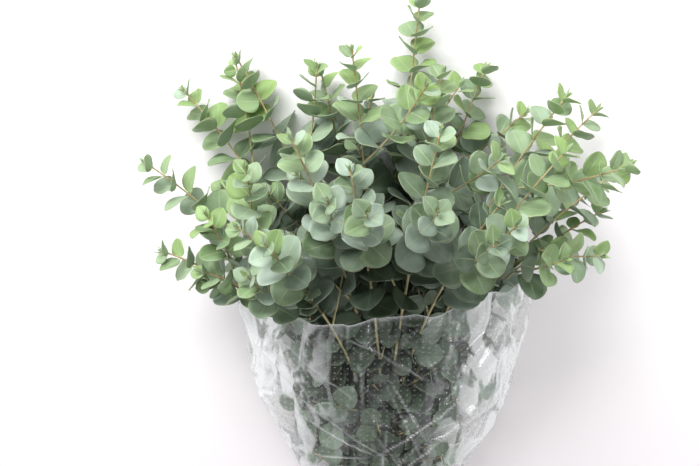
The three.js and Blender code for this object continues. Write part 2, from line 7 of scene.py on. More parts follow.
from __future__ import annotations
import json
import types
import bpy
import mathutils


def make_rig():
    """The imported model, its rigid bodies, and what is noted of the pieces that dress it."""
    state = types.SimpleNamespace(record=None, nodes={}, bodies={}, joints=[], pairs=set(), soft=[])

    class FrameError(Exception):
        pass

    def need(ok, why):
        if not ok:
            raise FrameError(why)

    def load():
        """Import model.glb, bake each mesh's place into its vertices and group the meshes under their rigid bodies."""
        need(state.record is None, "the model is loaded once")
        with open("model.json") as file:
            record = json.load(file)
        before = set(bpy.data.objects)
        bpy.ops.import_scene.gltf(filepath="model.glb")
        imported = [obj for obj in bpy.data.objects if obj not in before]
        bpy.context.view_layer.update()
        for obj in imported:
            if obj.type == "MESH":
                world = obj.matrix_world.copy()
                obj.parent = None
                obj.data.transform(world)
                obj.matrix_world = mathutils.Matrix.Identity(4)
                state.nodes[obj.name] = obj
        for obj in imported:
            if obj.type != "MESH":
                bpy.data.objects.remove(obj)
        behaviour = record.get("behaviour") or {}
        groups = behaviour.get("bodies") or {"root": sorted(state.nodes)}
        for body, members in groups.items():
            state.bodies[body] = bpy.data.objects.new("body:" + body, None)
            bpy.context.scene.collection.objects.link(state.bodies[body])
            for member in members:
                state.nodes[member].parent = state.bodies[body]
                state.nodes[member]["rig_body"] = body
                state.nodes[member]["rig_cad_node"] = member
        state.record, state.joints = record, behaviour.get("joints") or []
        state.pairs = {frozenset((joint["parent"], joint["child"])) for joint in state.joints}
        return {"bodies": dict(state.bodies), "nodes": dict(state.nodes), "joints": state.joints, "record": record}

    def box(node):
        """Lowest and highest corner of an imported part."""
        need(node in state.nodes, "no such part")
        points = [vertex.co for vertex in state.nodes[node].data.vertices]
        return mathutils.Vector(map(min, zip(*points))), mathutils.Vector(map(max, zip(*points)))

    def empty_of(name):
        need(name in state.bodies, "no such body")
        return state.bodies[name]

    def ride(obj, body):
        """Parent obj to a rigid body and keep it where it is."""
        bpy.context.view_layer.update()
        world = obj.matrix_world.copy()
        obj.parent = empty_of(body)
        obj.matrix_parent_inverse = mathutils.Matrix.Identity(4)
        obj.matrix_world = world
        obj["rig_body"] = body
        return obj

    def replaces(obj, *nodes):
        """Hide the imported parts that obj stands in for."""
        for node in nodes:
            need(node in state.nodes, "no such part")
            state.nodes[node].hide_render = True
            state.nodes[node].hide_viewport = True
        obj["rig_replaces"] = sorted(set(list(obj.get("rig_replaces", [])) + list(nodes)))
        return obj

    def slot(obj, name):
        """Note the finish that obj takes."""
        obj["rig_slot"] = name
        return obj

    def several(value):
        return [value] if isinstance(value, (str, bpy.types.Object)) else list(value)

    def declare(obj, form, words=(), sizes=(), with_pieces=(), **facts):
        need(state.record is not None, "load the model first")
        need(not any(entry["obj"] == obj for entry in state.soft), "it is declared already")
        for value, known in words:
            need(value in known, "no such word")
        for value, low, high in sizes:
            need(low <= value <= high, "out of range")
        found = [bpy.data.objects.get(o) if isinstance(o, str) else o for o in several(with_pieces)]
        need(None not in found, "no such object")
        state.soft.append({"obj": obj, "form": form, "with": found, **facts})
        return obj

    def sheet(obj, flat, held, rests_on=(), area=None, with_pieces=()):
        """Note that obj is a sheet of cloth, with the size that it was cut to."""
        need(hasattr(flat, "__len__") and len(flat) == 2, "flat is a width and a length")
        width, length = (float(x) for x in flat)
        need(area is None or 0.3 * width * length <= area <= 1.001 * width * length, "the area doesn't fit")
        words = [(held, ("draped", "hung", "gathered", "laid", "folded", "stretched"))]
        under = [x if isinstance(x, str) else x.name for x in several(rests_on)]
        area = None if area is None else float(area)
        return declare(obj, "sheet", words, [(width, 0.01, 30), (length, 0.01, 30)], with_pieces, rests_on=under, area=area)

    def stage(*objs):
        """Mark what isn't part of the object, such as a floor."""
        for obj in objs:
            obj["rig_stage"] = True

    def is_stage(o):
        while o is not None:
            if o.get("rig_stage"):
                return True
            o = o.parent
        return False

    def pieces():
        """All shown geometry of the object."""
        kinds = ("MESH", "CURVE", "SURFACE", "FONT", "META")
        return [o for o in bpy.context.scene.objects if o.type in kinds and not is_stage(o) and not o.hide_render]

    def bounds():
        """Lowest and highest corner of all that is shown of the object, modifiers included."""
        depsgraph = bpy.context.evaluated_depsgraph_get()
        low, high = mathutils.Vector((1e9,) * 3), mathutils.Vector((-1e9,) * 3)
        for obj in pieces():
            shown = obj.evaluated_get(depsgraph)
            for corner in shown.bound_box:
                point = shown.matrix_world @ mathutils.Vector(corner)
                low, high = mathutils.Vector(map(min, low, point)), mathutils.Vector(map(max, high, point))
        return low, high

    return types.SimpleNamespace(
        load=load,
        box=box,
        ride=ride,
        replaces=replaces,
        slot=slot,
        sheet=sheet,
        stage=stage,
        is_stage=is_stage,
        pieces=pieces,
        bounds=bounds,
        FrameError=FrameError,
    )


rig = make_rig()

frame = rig.load()
CAD_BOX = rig.bounds()

import json
import logging
import math
from dataclasses import dataclass, field
from enum import Enum, IntEnum

import bpy
import numpy as np
from mathutils import Vector

logging.basicConfig(level=logging.INFO, format="%(message)s")
log = logging.getLogger("bunch")

Vec = np.ndarray
Span = tuple[float, float]
Colour = tuple[float, float, float, float]
MM = 0.001
UP = np.array([0.0, 0.0, 1.0])
DEGREE = math.pi / 180
BODY = "root"
SIZE_FILE = "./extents.json"
FILM_SEED = (71, 3)
BAND_SEED = 83


def mix(a: float, b: float, t: float) -> float:
    """Give the value a share t of the way from a to b."""
    return a + (b - a) * t


def unit(vector: Vec) -> Vec:
    """Give a vector's direction."""
    return vector / math.sqrt(float(vector @ vector))


def cross(a: Vec, b: Vec) -> Vec:
    """Give the cross product of two vectors."""
    return np.array(
        [a[1] * b[2] - a[2] * b[1], a[2] * b[0] - a[0] * b[2], a[0] * b[1] - a[1] * b[0]]
    )


def radial(direction: Vec, angle: float) -> Vec:
    """Give the direction square to another one, at an angle round it from the level.

    Args:
        direction: what the result is square to.
        angle: how far round it, in radians.

    Returns:
        A direction.
    """
    side = unit(cross(direction, UP))
    over = unit(cross(side, direction))
    return side * math.cos(angle) + over * math.sin(angle)


def turned(vector: Vec, axis: Vec, angle: float) -> Vec:
    """Turn a vector round an axis."""
    cosine, sine = math.cos(angle), math.sin(angle)
    return vector * cosine + cross(axis, vector) * sine + axis * (axis @ vector) * (1 - cosine)


class Stream(IntEnum):
    """Where the numbers for each kind of growth start, in a stem's own run of streams."""

    CUT = 0
    SHOOTS = 1
    STEM_LEAVES = 11
    SHOOT_LEAVES = 21
    INNER_SHOOTS = 31
    INNER_PAIRS = 41
    FORMS = 61


class Draw:
    """A repeatable stream of numbers, one for each twig."""

    RANGE = 2**32
    MULTIPLIER = 1664525
    INCREMENT = 1013904223
    SEED_FACTORS = (977, 131)
    SEED_START = 7
    PASSED_OVER = 5

    def __init__(self, stem: int, shoot: int) -> None:
        """Seed the stream, and pass over its first few numbers.

        Args:
            stem: the number of the stem.
            shoot: which of the stem's streams it is.
        """
        by_stem, by_shoot = self.SEED_FACTORS
        self.state = (stem * by_stem + shoot * by_shoot + self.SEED_START) % self.RANGE
        for _ in range(self.PASSED_OVER):
            self.between(0, 1)

    def between(self, low: float, high: float) -> float:
        """Draw the next number between two limits."""
        self.state = (self.state * self.MULTIPLIER + self.INCREMENT) % self.RANGE
        return low + ((high - low) * self.state) / self.RANGE

    def spread(self, reach: float) -> float:
        """Draw the next number up to a reach to either side of zero."""
        return self.between(-reach, reach)


@dataclass(frozen=True)
class SleeveForm:
    """The film sleeve's form along the bunch, in millimetres."""

    film: float = 0.8
    low: float = 58.0
    rim: float = 455.0
    rim_slope: float = 26.0
    rim_sag: float = 26.0
    half_widths: tuple[float, float, float] = (48.0, 140.0, 2.2)
    half_heights: tuple[float, float, float] = (21.0, 70.0, 0.8)
    sink: float = 0.86
    lip: float = 30.0
    clearance: float = 3.0

    def section(self, y: float | Vec) -> tuple[float | Vec, float | Vec]:
        """Give the half width and half height at a distance from the cut ends.

        Args:
            y: the distance, or many of them.

        Returns:
            The half width and the half height.
        """
        rise = np.clip((y - self.low) / (self.rim - self.low), 0.0, 1.0)
        narrow, flare, turn = self.half_widths
        low, growth, power = self.half_heights
        return narrow + flare * (1 - (1 - rise) ** turn), low + growth * rise**power

    def rim_at(self, angle: float | Vec) -> float | Vec:
        """Give how far up the bunch the film reaches, at an angle round it.

        Args:
            angle: the angle, or many of them.

        Returns:
            The distance from the cut ends.
        """
        sag = self.rim_sag * np.maximum(0, np.sin(angle))
        return self.rim + self.rim_slope * np.cos(angle) - sag

    def place(self, points: Vec) -> tuple[Vec, Vec, Vec]:
        """Give each point's ratio (below 1 inside the film), the rim there and the half height.

        Args:
            points: one row for each point.

        Returns:
            Three numbers for each point.
        """
        half_width, half_height = self.section(points[:, 1])
        x = points[:, 0] / half_width
        z = (points[:, 2] - self.sink * half_height) / half_height
        return np.hypot(x, z), self.rim_at(np.arctan2(z, x)), half_height

    def outward(self, point: Vec) -> Vec:
        """Give the direction from inside the film straight out through it.

        Args:
            point: a point inside the film.

        Returns:
            A direction across the bunch.
        """
        half_width, half_height = self.section(point[1])
        rise = (point[2] - self.sink * half_height) / half_height**2
        return unit(np.array([point[0] / half_width**2, 0.0, rise + TINY]))

    def floor(self, points: Vec) -> Vec:
        """Give the lowest that each point may lie: on the table, or on the film."""
        ratio, rim, _ = self.place(points)
        return np.where((points[:, 1] < rim + self.lip) & (ratio < 1), self.film + GAP, 0.0)

    def clears(self, points: Vec) -> bool:
        """Tell whether points all lie on one side of the film, and clear of it.

        Args:
            points: one row for each point.

        Returns:
            Whether they do.
        """
        ratio, rim, half_height = self.place(points)
        near = (points[:, 1] <= rim + self.clearance) & (points[:, 1] >= self.low - self.clearance)
        ratio, half_height, z = ratio[near], half_height[near], points[near, 2]
        share = (self.clearance + self.film) / half_height
        if np.any((ratio > 1 - share) & (ratio < 1 + share)):
            return False
        inside = ratio < 1
        if np.any(inside & (z < self.film + GAP + LEAF_THICKNESS / 2 - SLACK)):
            return False
        return not (inside.any() and (~inside).any())


class Blade(Enum):
    """The two outlines of a leaf's solid, each in shares of its length and of its width."""

    ROUND = ((0.36, 0.49), (0.93, 0.31), (0.93, -0.31), (0.36, -0.49))
    TIP = ((0.42, 0.5), (1.0, 0.0), (0.42, -0.5))

    @property
    def triangles(self) -> list[tuple[int, int, int]]:
        """Give the triangles of either face."""
        if self is Blade.ROUND:
            return [(0, 1, 4), (1, 2, 4), (2, 3, 4)]
        return [(0, 1, 3), (1, 2, 3)]

    @property
    def creases(self) -> list[tuple[int, int]]:
        """Give the edges inside either face."""
        return [(1, 4), (2, 4)] if self is Blade.ROUND else [(1, 3)]


LEAF_THICKNESS = 0.8
GAP = 0.35
SLACK = 0.01
TINY = 1e-6
PARALLEL = 1e-9
SPHERE_MARGIN = 3
HULL_SHARE = 1.25
DIRECTION_STEP = 8
BAND_THICKNESS = 1.4
BAND_AT = 84.0
FILM = SleeveForm()
BUNDLE_FLOOR = FILM.film + GAP + BAND_THICKNESS + GAP
EDGE_STEPS = 4


@dataclass(frozen=True)
class GrowthRule:
    """Where the stems end, and how they, their shoots and their leaves grow, in millimetres."""

    tip_layers: tuple[tuple[tuple[float, float, float], ...], ...] = (
        (
            (-258, 690, 34),
            (-190, 732, 32),
            (-84, 716, 30),
            (40, 800, 40),
            (126, 718, 32),
            (270, 664, 34),
        ),
        (
            (-282, 500, 112),
            (-292, 614, 120),
            (-44, 750, 118),
            (62, 726, 128),
            (210, 696, 122),
            (292, 612, 116),
            (266, 552, 112),
        ),
        (
            (-232, 484, 138),
            (-176, 560, 204),
            (-112, 664, 206),
            (-46, 632, 226),
            (52, 676, 232),
            (126, 590, 208),
            (196, 650, 208),
        ),
    )
    canopy: tuple[float, float, float] = (0.0, 400.0, 70.0)
    stem_radius: float = 2.9
    tip_radius: float = 0.9
    shoot_radius: float = 1.5
    stem_pitch: float = 6.3
    row_pitch: float = 5.5
    stem_sides: int = 5
    straight_end: float = 112.0
    leave_share: float = 0.24
    arrive_share: float = 0.36
    tip_rise: float = 0.35
    stem_steps: int = 8
    cut_stagger: float = 12.0
    shoot_starts: tuple[float, ...] = (0.5, 0.64, 0.77)
    shoot_length: Span = (112, 168)
    shoot_splay: Span = (28, 58)
    shoot_steps: int = 3
    shoot_tries: int = 24
    shoot_shift: Span = (-0.04, 0.06)
    shoot_shrink: float = 0.02
    shoot_bare: float = 14
    shoot_fall_in: float = 0.5
    tip_leaf: float = 20
    full_leaf: float = 44
    full_at: float = 120
    size_power: float = 0.75
    first_turn: Span = (30, 60)
    turn_spread: float = 20
    first_pair: float = 10
    pair_pitch: Span = (15, 30)
    low_pitch: float = 46
    stem_leafy: float = 240
    bare_below: float = 190
    leaf_tries: int = 14
    most_pressed: float = 7
    root_share: float = 0.5


@dataclass(frozen=True)
class Habit:
    """How the leaves of a twig stand: their lean in degrees, and how far they turn to face out."""

    full_lean: float
    light_turn: float
    pressed: bool


OPEN = Habit(66, 0.6, False)
PRESSED = Habit(62, 2.2, True)


@dataclass(frozen=True)
class LeafSpread:
    """How far a leaf strays from the rule. Angles are in degrees, and sizes are shares."""

    first: float = 0.4
    later: float = 0.13
    place: float = 28
    young_lean: float = 40
    lean: float = 20
    turn: float = 50
    flatten: float = 0.85
    full_tries: int = 4
    shrink: float = 0.045
    length: Span = (0.9, 1.08)
    slender: float = 0.62
    round_at: float = 0.75
    width: Span = (0.92, 1.06)
    bend: Span = (-0.16, 0.1)
    cup: Span = (0, 0.4)


@dataclass(frozen=True)
class InnerGrowth:
    """What grows inside the film, where the solids have bare stems. Lengths are in millimetres."""

    starts: tuple[float, ...] = (
        0.2, 0.26, 0.32, 0.38, 0.17, 0.36, 0.24, 0.3, 0.43, 0.22, 0.28, 0.4
    )
    start_spread: float = 0.02
    aim_spread: float = 120
    sideways: int = 4
    sideways_turn: Span = (-0.3, 0.6)
    sideways_splay: Span = (48, 82)
    turn: Span = (-0.3, 1.9)
    splay: Span = (26, 70)
    length: Span = (70, 165)
    shrink: float = 0.03
    leaf: float = 38.0
    leaf_sizes: Span = (0.74, 1.14)
    leaf_turn: float = 0.4
    from_tip: float = 3
    pitch: float = 22.0
    pairs: tuple[int, int, int] = (122, 452, 15)
    pair_sizes: Span = (0.7, 1.1)
    pair_turn: float = 0.5
    pair_shift: float = 7


RULE = GrowthRule()
STRAY = LeafSpread()
INNER = InnerGrowth()


class Twig:
    """A stem or shoot as a run of straight stretches that thins towards its tip."""

    def __init__(
        self, points: Vec, controls: list[Vec], curved: int, start_radius: float, end_radius: float
    ) -> None:
        """Measure the run and thin it.

        Args:
            points: the run's corners.
            controls: the control points of the curve that it follows.
            curved: how many of its stretches follow the curve.
            start_radius: its radius where it starts.
            end_radius: its radius at its tip.
        """
        self.points = points
        self.controls = controls
        self.curved = curved
        steps = np.sqrt(((points[1:] - points[:-1]) ** 2).sum(axis=1))
        self.lengths = np.concatenate([[0.0], np.cumsum(steps)])
        self.length = float(self.lengths[-1])
        self.radii = start_radius + (end_radius - start_radius) * self.lengths / self.length

    def at(self, s: float) -> Vec:
        """Give the point at a distance along the twig.

        Args:
            s: the distance, held to the twig's ends.

        Returns:
            The point.
        """
        clamped = min(max(s, 0.0), self.length)
        i = 1
        while i < len(self.points) - 1 and self.lengths[i] < clamped:
            i += 1
        share = (clamped - self.lengths[i - 1]) / (self.lengths[i] - self.lengths[i - 1])
        return self.points[i - 1] + (self.points[i] - self.points[i - 1]) * share

    def radius_at(self, s: float) -> float:
        """Give the twig's radius at a distance along it."""
        return mix(float(self.radii[0]), float(self.radii[-1]), s / self.length)

    def direction(self, s: float) -> Vec:
        """Give the twig's direction near a distance along it."""
        return unit(self.at(s + DIRECTION_STEP) - self.at(s - DIRECTION_STEP))


@dataclass
class Leaf:
    """One leaf: where it grows from, how it lies and how large it is."""

    blade: Blade
    root: Vec
    lead: Vec
    face: Vec
    side: Vec
    length: float
    width: float
    bend: float
    cup: float
    size: float
    s: float
    pressed: bool = False
    points: Vec = field(default_factory=lambda: np.zeros((0, 3)))

    def surface(self, u: Vec, v: Vec) -> Vec:
        """Give points of the leaf's middle surface, from shares of its length and width.

        Args:
            u: shares of the length.
            v: shares of the width, 0 at the midrib.

        Returns:
            One row for each point.
        """
        lift = self.bend * u * u * self.length + self.cup * v * v * self.width
        points = (
            self.root
            + np.multiply.outer(u * self.length, self.lead)
            + np.multiply.outer(v * self.width, self.side)
            + np.multiply.outer(lift, self.face)
        )
        floor = FILM.floor(points) + LEAF_THICKNESS / 2
        points[:, 2] = np.maximum(points[:, 2], floor)
        return points


@dataclass
class Stem:
    """One cut stem with its side shoots, and the leaves of each."""

    owner: int
    twig: Twig
    shoots: list[Twig] = field(default_factory=list)
    leaves: list[list[Leaf]] = field(default_factory=list)


class Room:
    """The room that twigs and leaves take up, so that what grows next can be tested against it."""

    def __init__(self, edges: int, faces: int, size: int) -> None:
        """Make empty room.

        Args:
            edges: the most edges that a shape has.
            faces: the most triangles that a shape has.
            size: the most shapes that it can keep.
        """
        self.edges = np.zeros((size, edges, 2, 3))
        self.faces = np.zeros((size, faces, 3, 3))
        self.centres = np.zeros((size, 3))
        self.radii = np.zeros(size)
        self.owners = np.zeros(size, dtype=int)
        self.keys = np.zeros(size, dtype=int)
        self.count = 0

    def add(self, shape: Shape, owner: int, key: int) -> None:
        """Keep one more shape.

        Args:
            shape: the shape.
            owner: the number of the stem that it belongs to.
            key: the number of its pair of leaves.
        """
        i = self.count
        self.edges[i, : len(shape.edges)] = shape.edges
        self.faces[i, : len(shape.faces)] = shape.faces
        self.centres[i] = shape.centre
        self.radii[i] = shape.radius
        self.owners[i] = owner
        self.keys[i] = key
        self.count += 1

    def touched(self, shape: Shape, others: Vec) -> bool:
        """Tell whether a shape touches any of the kept ones that others picks out.

        Args:
            shape: the shape to test.
            others: for each kept shape, whether it counts.

        Returns:
            Whether it touches any.
        """
        n = self.count
        away = self.centres[:n] - shape.centre
        reach = self.radii[:n] + shape.radius
        near = np.nonzero(others & ((away**2).sum(axis=1) <= reach**2))[0]
        if not len(near):
            return False
        return crosses(shape.edges, self.faces[near].reshape(-1, 3, 3)) or crosses(
            self.edges[near].reshape(-1, 2, 3), shape.faces
        )


@dataclass
class Shape:
    """The edges of a thin piece, and the faces of a closed hull one gap outside it."""

    edges: Vec
    faces: Vec
    centre: Vec
    radius: float

    @staticmethod
    def around(points: Vec, edges: Vec, faces: Vec) -> Shape:
        """Make a shape with the sphere round its box.

        Args:
            points: its corners.
            edges: its edges, as pairs of points.
            faces: its hull's triangles.

        Returns:
            The shape.
        """
        low, high = points.min(axis=0), points.max(axis=0)
        centre = (low + high) / 2
        return Shape(edges, faces, centre, float(np.linalg.norm(high - centre)) + SPHERE_MARGIN)

    def along_edges(self) -> Vec:
        """Give points at equal steps along the edges, ends included.

        Returns:
            One row for each point.
        """
        share = (np.arange(EDGE_STEPS + 1) / EDGE_STEPS)[None, :, None]
        run = self.edges[:, :1] + (self.edges[:, 1:] - self.edges[:, :1]) * share
        return run.reshape(-1, 3)


def crosses(edges: Vec, faces: Vec) -> bool:
    """Tell whether any edge passes through any triangle.

    Args:
        edges: pairs of points.
        faces: triangles.

    Returns:
        Whether any does.
    """
    d = (edges[:, 1] - edges[:, 0])[:, None]
    a = faces[:, 1] - faces[:, 0]
    b = faces[:, 2] - faces[:, 0]
    p = np.cross(d, b[None])
    det = (a[None] * p).sum(axis=2)
    solid = np.abs(det) >= PARALLEL
    det = np.where(solid, det, 1.0)
    t = edges[:, 0][:, None] - faces[:, 0][None]
    u = (t * p).sum(axis=2) / det
    q = np.cross(t, a[None])
    v = (d * q).sum(axis=2) / det
    w = (b[None] * q).sum(axis=2) / det
    hit = solid & (u >= 0) & (u <= 1) & (v >= 0) & (u + v <= 1) & (w >= 0) & (w <= 1)
    return bool(hit.any())


def blade_shape(leaf: Leaf) -> Shape:
    """Give the room that a leaf needs.

    Args:
        leaf: the leaf, with its corners.

    Returns:
        Its shape.
    """
    points, face, blade = leaf.points, leaf.face, leaf.blade
    n = len(points)
    pairs = [(i, (i + 1) % n) for i in range(n)] + blade.creases
    edges = np.array([[points[i], points[j]] for i, j in pairs])
    centre = points.mean(axis=0)
    lift = LEAF_THICKNESS + GAP
    away = points - centre
    wide = points + away / np.sqrt((away**2).sum(axis=1, keepdims=True)) * lift
    top, low = wide + face * lift, wide - face * lift
    faces = []
    for i, j, k in blade.triangles:
        faces.append((top[i], top[j], top[k]))
        faces.append((low[i], low[k], low[j]))
    for i in range(n):
        j = (i + 1) % n
        faces.append((low[i], low[j], top[j]))
        faces.append((low[i], top[j], top[i]))
    return Shape.around(points, edges, np.array(faces))


def stretch_shape(start: Vec, end: Vec, radius: float) -> Shape:
    """Give the room that one straight stretch of a twig needs.

    Args:
        start: where the stretch starts.
        end: where it ends.
        radius: the twig's radius there.

    Returns:
        Its shape.
    """
    direction = unit(end - start)
    corners = [radial(direction, k * math.pi / 2) for k in range(4)]
    hull = radius * HULL_SHARE + LEAF_THICKNESS + GAP
    edges, faces = [], []
    for k, corner in enumerate(corners):
        after = corners[(k + 1) % 4]
        edges.append((start + corner * radius, end + corner * radius))
        faces.append((start + corner * hull, start + after * hull, end + after * hull))
        faces.append((start + corner * hull, end + after * hull, end + corner * hull))
    return Shape.around(np.array([start, end]), np.array(edges), np.array(faces))


class Growth:
    """Grows every stem with its side shoots and leaves, by the same rule as the solids."""

    def __init__(self) -> None:
        """Start with empty room for twigs and leaves."""
        self.twigs = Room(edges=4, faces=8, size=900)
        self.blades = Room(edges=7, faces=16, size=3000)
        self.keys = 0

    def stem(self, base: Vec, tip: Vec, cut: float) -> Twig:
        """Grow a stem: straight through the band, then one curve out to its tip.

        Args:
            base: where it passes the line of the cut ends.
            tip: where it ends.
            cut: how far from that line it starts.

        Returns:
            The stem's twig.
        """
        start = np.array([base[0], RULE.straight_end, base[2]])
        outward = unit((tip - RULE.canopy) * np.array([1, 1, RULE.tip_rise]))
        reach = math.sqrt(float(((tip - start) ** 2).sum()))
        p1 = start + np.array([0.0, RULE.leave_share * reach, 0.0])
        p2 = tip - outward * (RULE.arrive_share * reach)
        run = [np.array([base[0], cut, base[2]])]
        for i in range(RULE.stem_steps + 1):
            t = i / RULE.stem_steps
            k = 1 - t
            run.append(start * k**3 + p1 * (3 * k * k * t) + p2 * (3 * k * t * t) + tip * t**3)
        controls = [start, p1, p2, tip]
        return Twig(np.array(run), controls, RULE.stem_steps, RULE.stem_radius, RULE.tip_radius)

    def shoot(self, stem: Twig, s: float, length: float, splay: float, angle: float) -> Twig:
        """Grow a side shoot that curves back towards its stem's own direction.

        Args:
            stem: the twig that it grows from.
            s: where along it.
            length: how long the shoot is.
            splay: how far it leans out, in radians.
            angle: to which side of the stem it leans.

        Returns:
            The shoot's twig.
        """
        start, direction = stem.at(s), stem.direction(s)
        out = radial(direction, angle)
        first = direction * math.cos(splay) + out * math.sin(splay)
        last = unit(first + direction * RULE.shoot_fall_in)
        middle = start + first * (length / 2)
        end = middle + last * (length / 2)
        run = []
        for i in range(RULE.shoot_steps + 1):
            t = i / RULE.shoot_steps
            k = 1 - t
            run.append(start * (k * k) + middle * (2 * k * t) + end * (t * t))
        controls = [start, middle, end]
        return Twig(np.array(run), controls, RULE.shoot_steps, RULE.shoot_radius, RULE.tip_radius)

    def keep_twig(self, twig: Twig, owner: int) -> None:
        """Keep the room that a twig takes up."""
        for shape in self.twig_shapes(twig):
            self.twigs.add(shape, owner, 0)

    def twig_shapes(self, twig: Twig) -> list[Shape]:
        """Give the room that each stretch of a twig needs."""
        return [
            stretch_shape(twig.points[i], twig.points[i + 1], float(twig.radii[i]))
            for i in range(len(twig.points) - 1)
        ]

    def shoot_fits(self, owner: int, twig: Twig) -> bool:
        """Tell whether a shoot clears the film, the table and every other stem.

        Args:
            owner: the number of the stem that it belongs to.
            twig: the shoot.

        Returns:
            Whether it does.
        """
        shapes = self.twig_shapes(twig)
        if not all(FILM.clears(shape.along_edges()) for shape in shapes):
            return False
        if np.any(twig.points[:, 2] < FILM.floor(twig.points) + twig.radii + GAP):
            return False
        others = self.twigs.owners[: self.twigs.count] != owner
        return not any(self.twigs.touched(shape, others) for shape in shapes)

    def leaf_fits(self, owner: int, key: int, shape: Shape) -> bool:
        """Tell whether a leaf clears the film, the other stems and every leaf before it.

        Args:
            owner: the number of the stem that it belongs to.
            key: the number of its pair.
            shape: the room that it needs.

        Returns:
            Whether it does.
        """
        if not FILM.clears(shape.along_edges()):
            return False
        others = self.twigs.owners[: self.twigs.count] != owner
        if self.twigs.touched(shape, others):
            return False
        return not self.blades.touched(shape, self.blades.keys[: self.blades.count] != key)

    def try_leaf(
        self,
        twig: Twig,
        s: float,
        angle: float,
        size: float,
        blade: Blade,
        draw: Draw,
        attempt: int,
        habit: Habit,
    ) -> Leaf:
        """Make one try at a leaf: later tries turn it further, and then make it smaller.

        Args:
            twig: what it grows from.
            s: where along the twig.
            angle: to which side of the twig it stands.
            size: its length before it varies.
            blade: its outline.
            draw: the numbers that vary it.
            attempt: how many tries came before.
            habit: how the twig's leaves stand.

        Returns:
            The leaf.
        """
        wander = STRAY.first + STRAY.later * attempt
        direction = twig.direction(s)
        out = radial(direction, angle + draw.spread(STRAY.place) * DEGREE * wander)
        young = 1 - size / RULE.full_leaf
        lean = mix(habit.full_lean, STRAY.young_lean, young) + draw.spread(STRAY.lean) * wander
        lean = lean * DEGREE
        lead = direction * math.cos(lean) + out * math.sin(lean)
        root = twig.at(s) + out * (RULE.root_share * twig.radius_at(s))
        light = FILM.outward(root) if habit.pressed else unit(unit(root - RULE.canopy) + UP)
        if habit.pressed:
            lead = unit(lead - light * (STRAY.flatten * float(lead @ light)))
        face = direction + light * habit.light_turn
        face = unit(face - lead * float(face @ lead))
        face = turned(face, lead, draw.spread(STRAY.turn) * DEGREE * wander)
        shrink = 1 - STRAY.shrink * max(0, attempt - STRAY.full_tries)
        length = size * shrink * draw.between(*STRAY.length)
        slender = mix(STRAY.slender, 1.0, min(1, size / (STRAY.round_at * RULE.full_leaf)))
        width = length * slender * draw.between(*STRAY.width)
        bend = draw.between(*STRAY.bend)
        cup = draw.between(*STRAY.cup)
        side = unit(cross(lead, face))
        leaf = Leaf(
            blade, root, lead, face, side, length, width, bend, cup, size, s, habit.pressed
        )
        outline = np.array(blade.value)
        leaf.points = np.vstack([root, leaf.surface(outline[:, 0], outline[:, 1])])
        return leaf

    def place_pair(
        self,
        owner: int,
        twig: Twig,
        s: float,
        angle: float,
        size: float,
        blade: Blade,
        draw: Draw,
        habit: Habit = OPEN,
    ) -> list[Leaf]:
        """Place a pair of opposite leaves, each in the first try that is clear.

        Args:
            owner: the number of the stem that it belongs to.
            twig: what they grow from.
            s: where along the twig.
            angle: to which side of the twig the first one stands.
            size: their length before it varies.
            blade: their outline.
            draw: the numbers that vary it.
            habit: how the twig's leaves stand.

        Returns:
            The leaves that found room.
        """
        self.keys += 1
        placed = []
        for turn in (0, math.pi):
            for attempt in range(RULE.leaf_tries):
                leaf = self.try_leaf(twig, s, angle + turn, size, blade, draw, attempt, habit)
                tip = leaf.root + leaf.lead * leaf.length
                if FILM.floor(tip[None])[0] - tip[2] > RULE.most_pressed:
                    continue
                shape = blade_shape(leaf)
                if not self.leaf_fits(owner, self.keys, shape):
                    continue
                self.blades.add(shape, owner, self.keys)
                placed.append(leaf)
                break
        return placed

    def leaf_out(self, owner: int, twig: Twig, leafy: float, end: float, draw: Draw) -> list[Leaf]:
        """Place every pair of a twig, close together near its tip.

        Args:
            owner: the number of the stem that it belongs to.
            twig: what they grow from.
            leafy: up to where they are close, from the tip down.
            end: up to where there are any.
            draw: the numbers that vary it.

        Returns:
            The leaves, from the tip down.
        """
        start = draw.between(*RULE.first_turn) * DEGREE
        leaves: list[Leaf] = []
        distance, pair = float(RULE.first_pair), 0
        while distance < end:
            full = min(1, distance / RULE.full_at)
            size = mix(RULE.tip_leaf, RULE.full_leaf, full**RULE.size_power)
            angle = start + (pair * math.pi) / 2 + draw.spread(RULE.turn_spread) * DEGREE
            blade = Blade.TIP if pair == 0 else Blade.ROUND
            leaves += self.place_pair(owner, twig, twig.length - distance, angle, size, blade, draw)
            distance += mix(*RULE.pair_pitch, full) if distance < leafy else RULE.low_pitch
            pair += 1
        return leaves

    def grow(self) -> list[Stem]:
        """Grow the bunch.

        Returns:
            The stems, from the lowest layer up.
        """
        stems: list[Stem] = []
        flat = RULE.stem_radius * math.cos(math.pi / RULE.stem_sides)
        for row, layer in enumerate(RULE.tip_layers):
            for column, tip in enumerate(layer):
                owner = len(stems)
                cut = Draw(owner, Stream.CUT).between(0, RULE.cut_stagger)
                x = (column - (len(layer) - 1) / 2) * RULE.stem_pitch
                z = BUNDLE_FLOOR + flat + row * RULE.row_pitch
                twig = self.stem(np.array([x, 0.0, z]), np.array(tip, dtype=float), cut)
                self.keep_twig(twig, owner)
                stems.append(Stem(owner, twig))
        for stem in stems:
            for index, share in enumerate(RULE.shoot_starts):
                self.add_shoot(stem, index, share)
        for stem in stems:
            draw = Draw(stem.owner, Stream.STEM_LEAVES)
            end = stem.twig.length - RULE.bare_below
            stem.leaves.append(self.leaf_out(stem.owner, stem.twig, RULE.stem_leafy, end, draw))
        for stem in stems:
            for index, shoot in enumerate(stem.shoots):
                draw = Draw(stem.owner, Stream.SHOOT_LEAVES + index)
                end = shoot.length - RULE.shoot_bare
                stem.leaves.append(self.leaf_out(stem.owner, shoot, shoot.length, end, draw))
        return stems

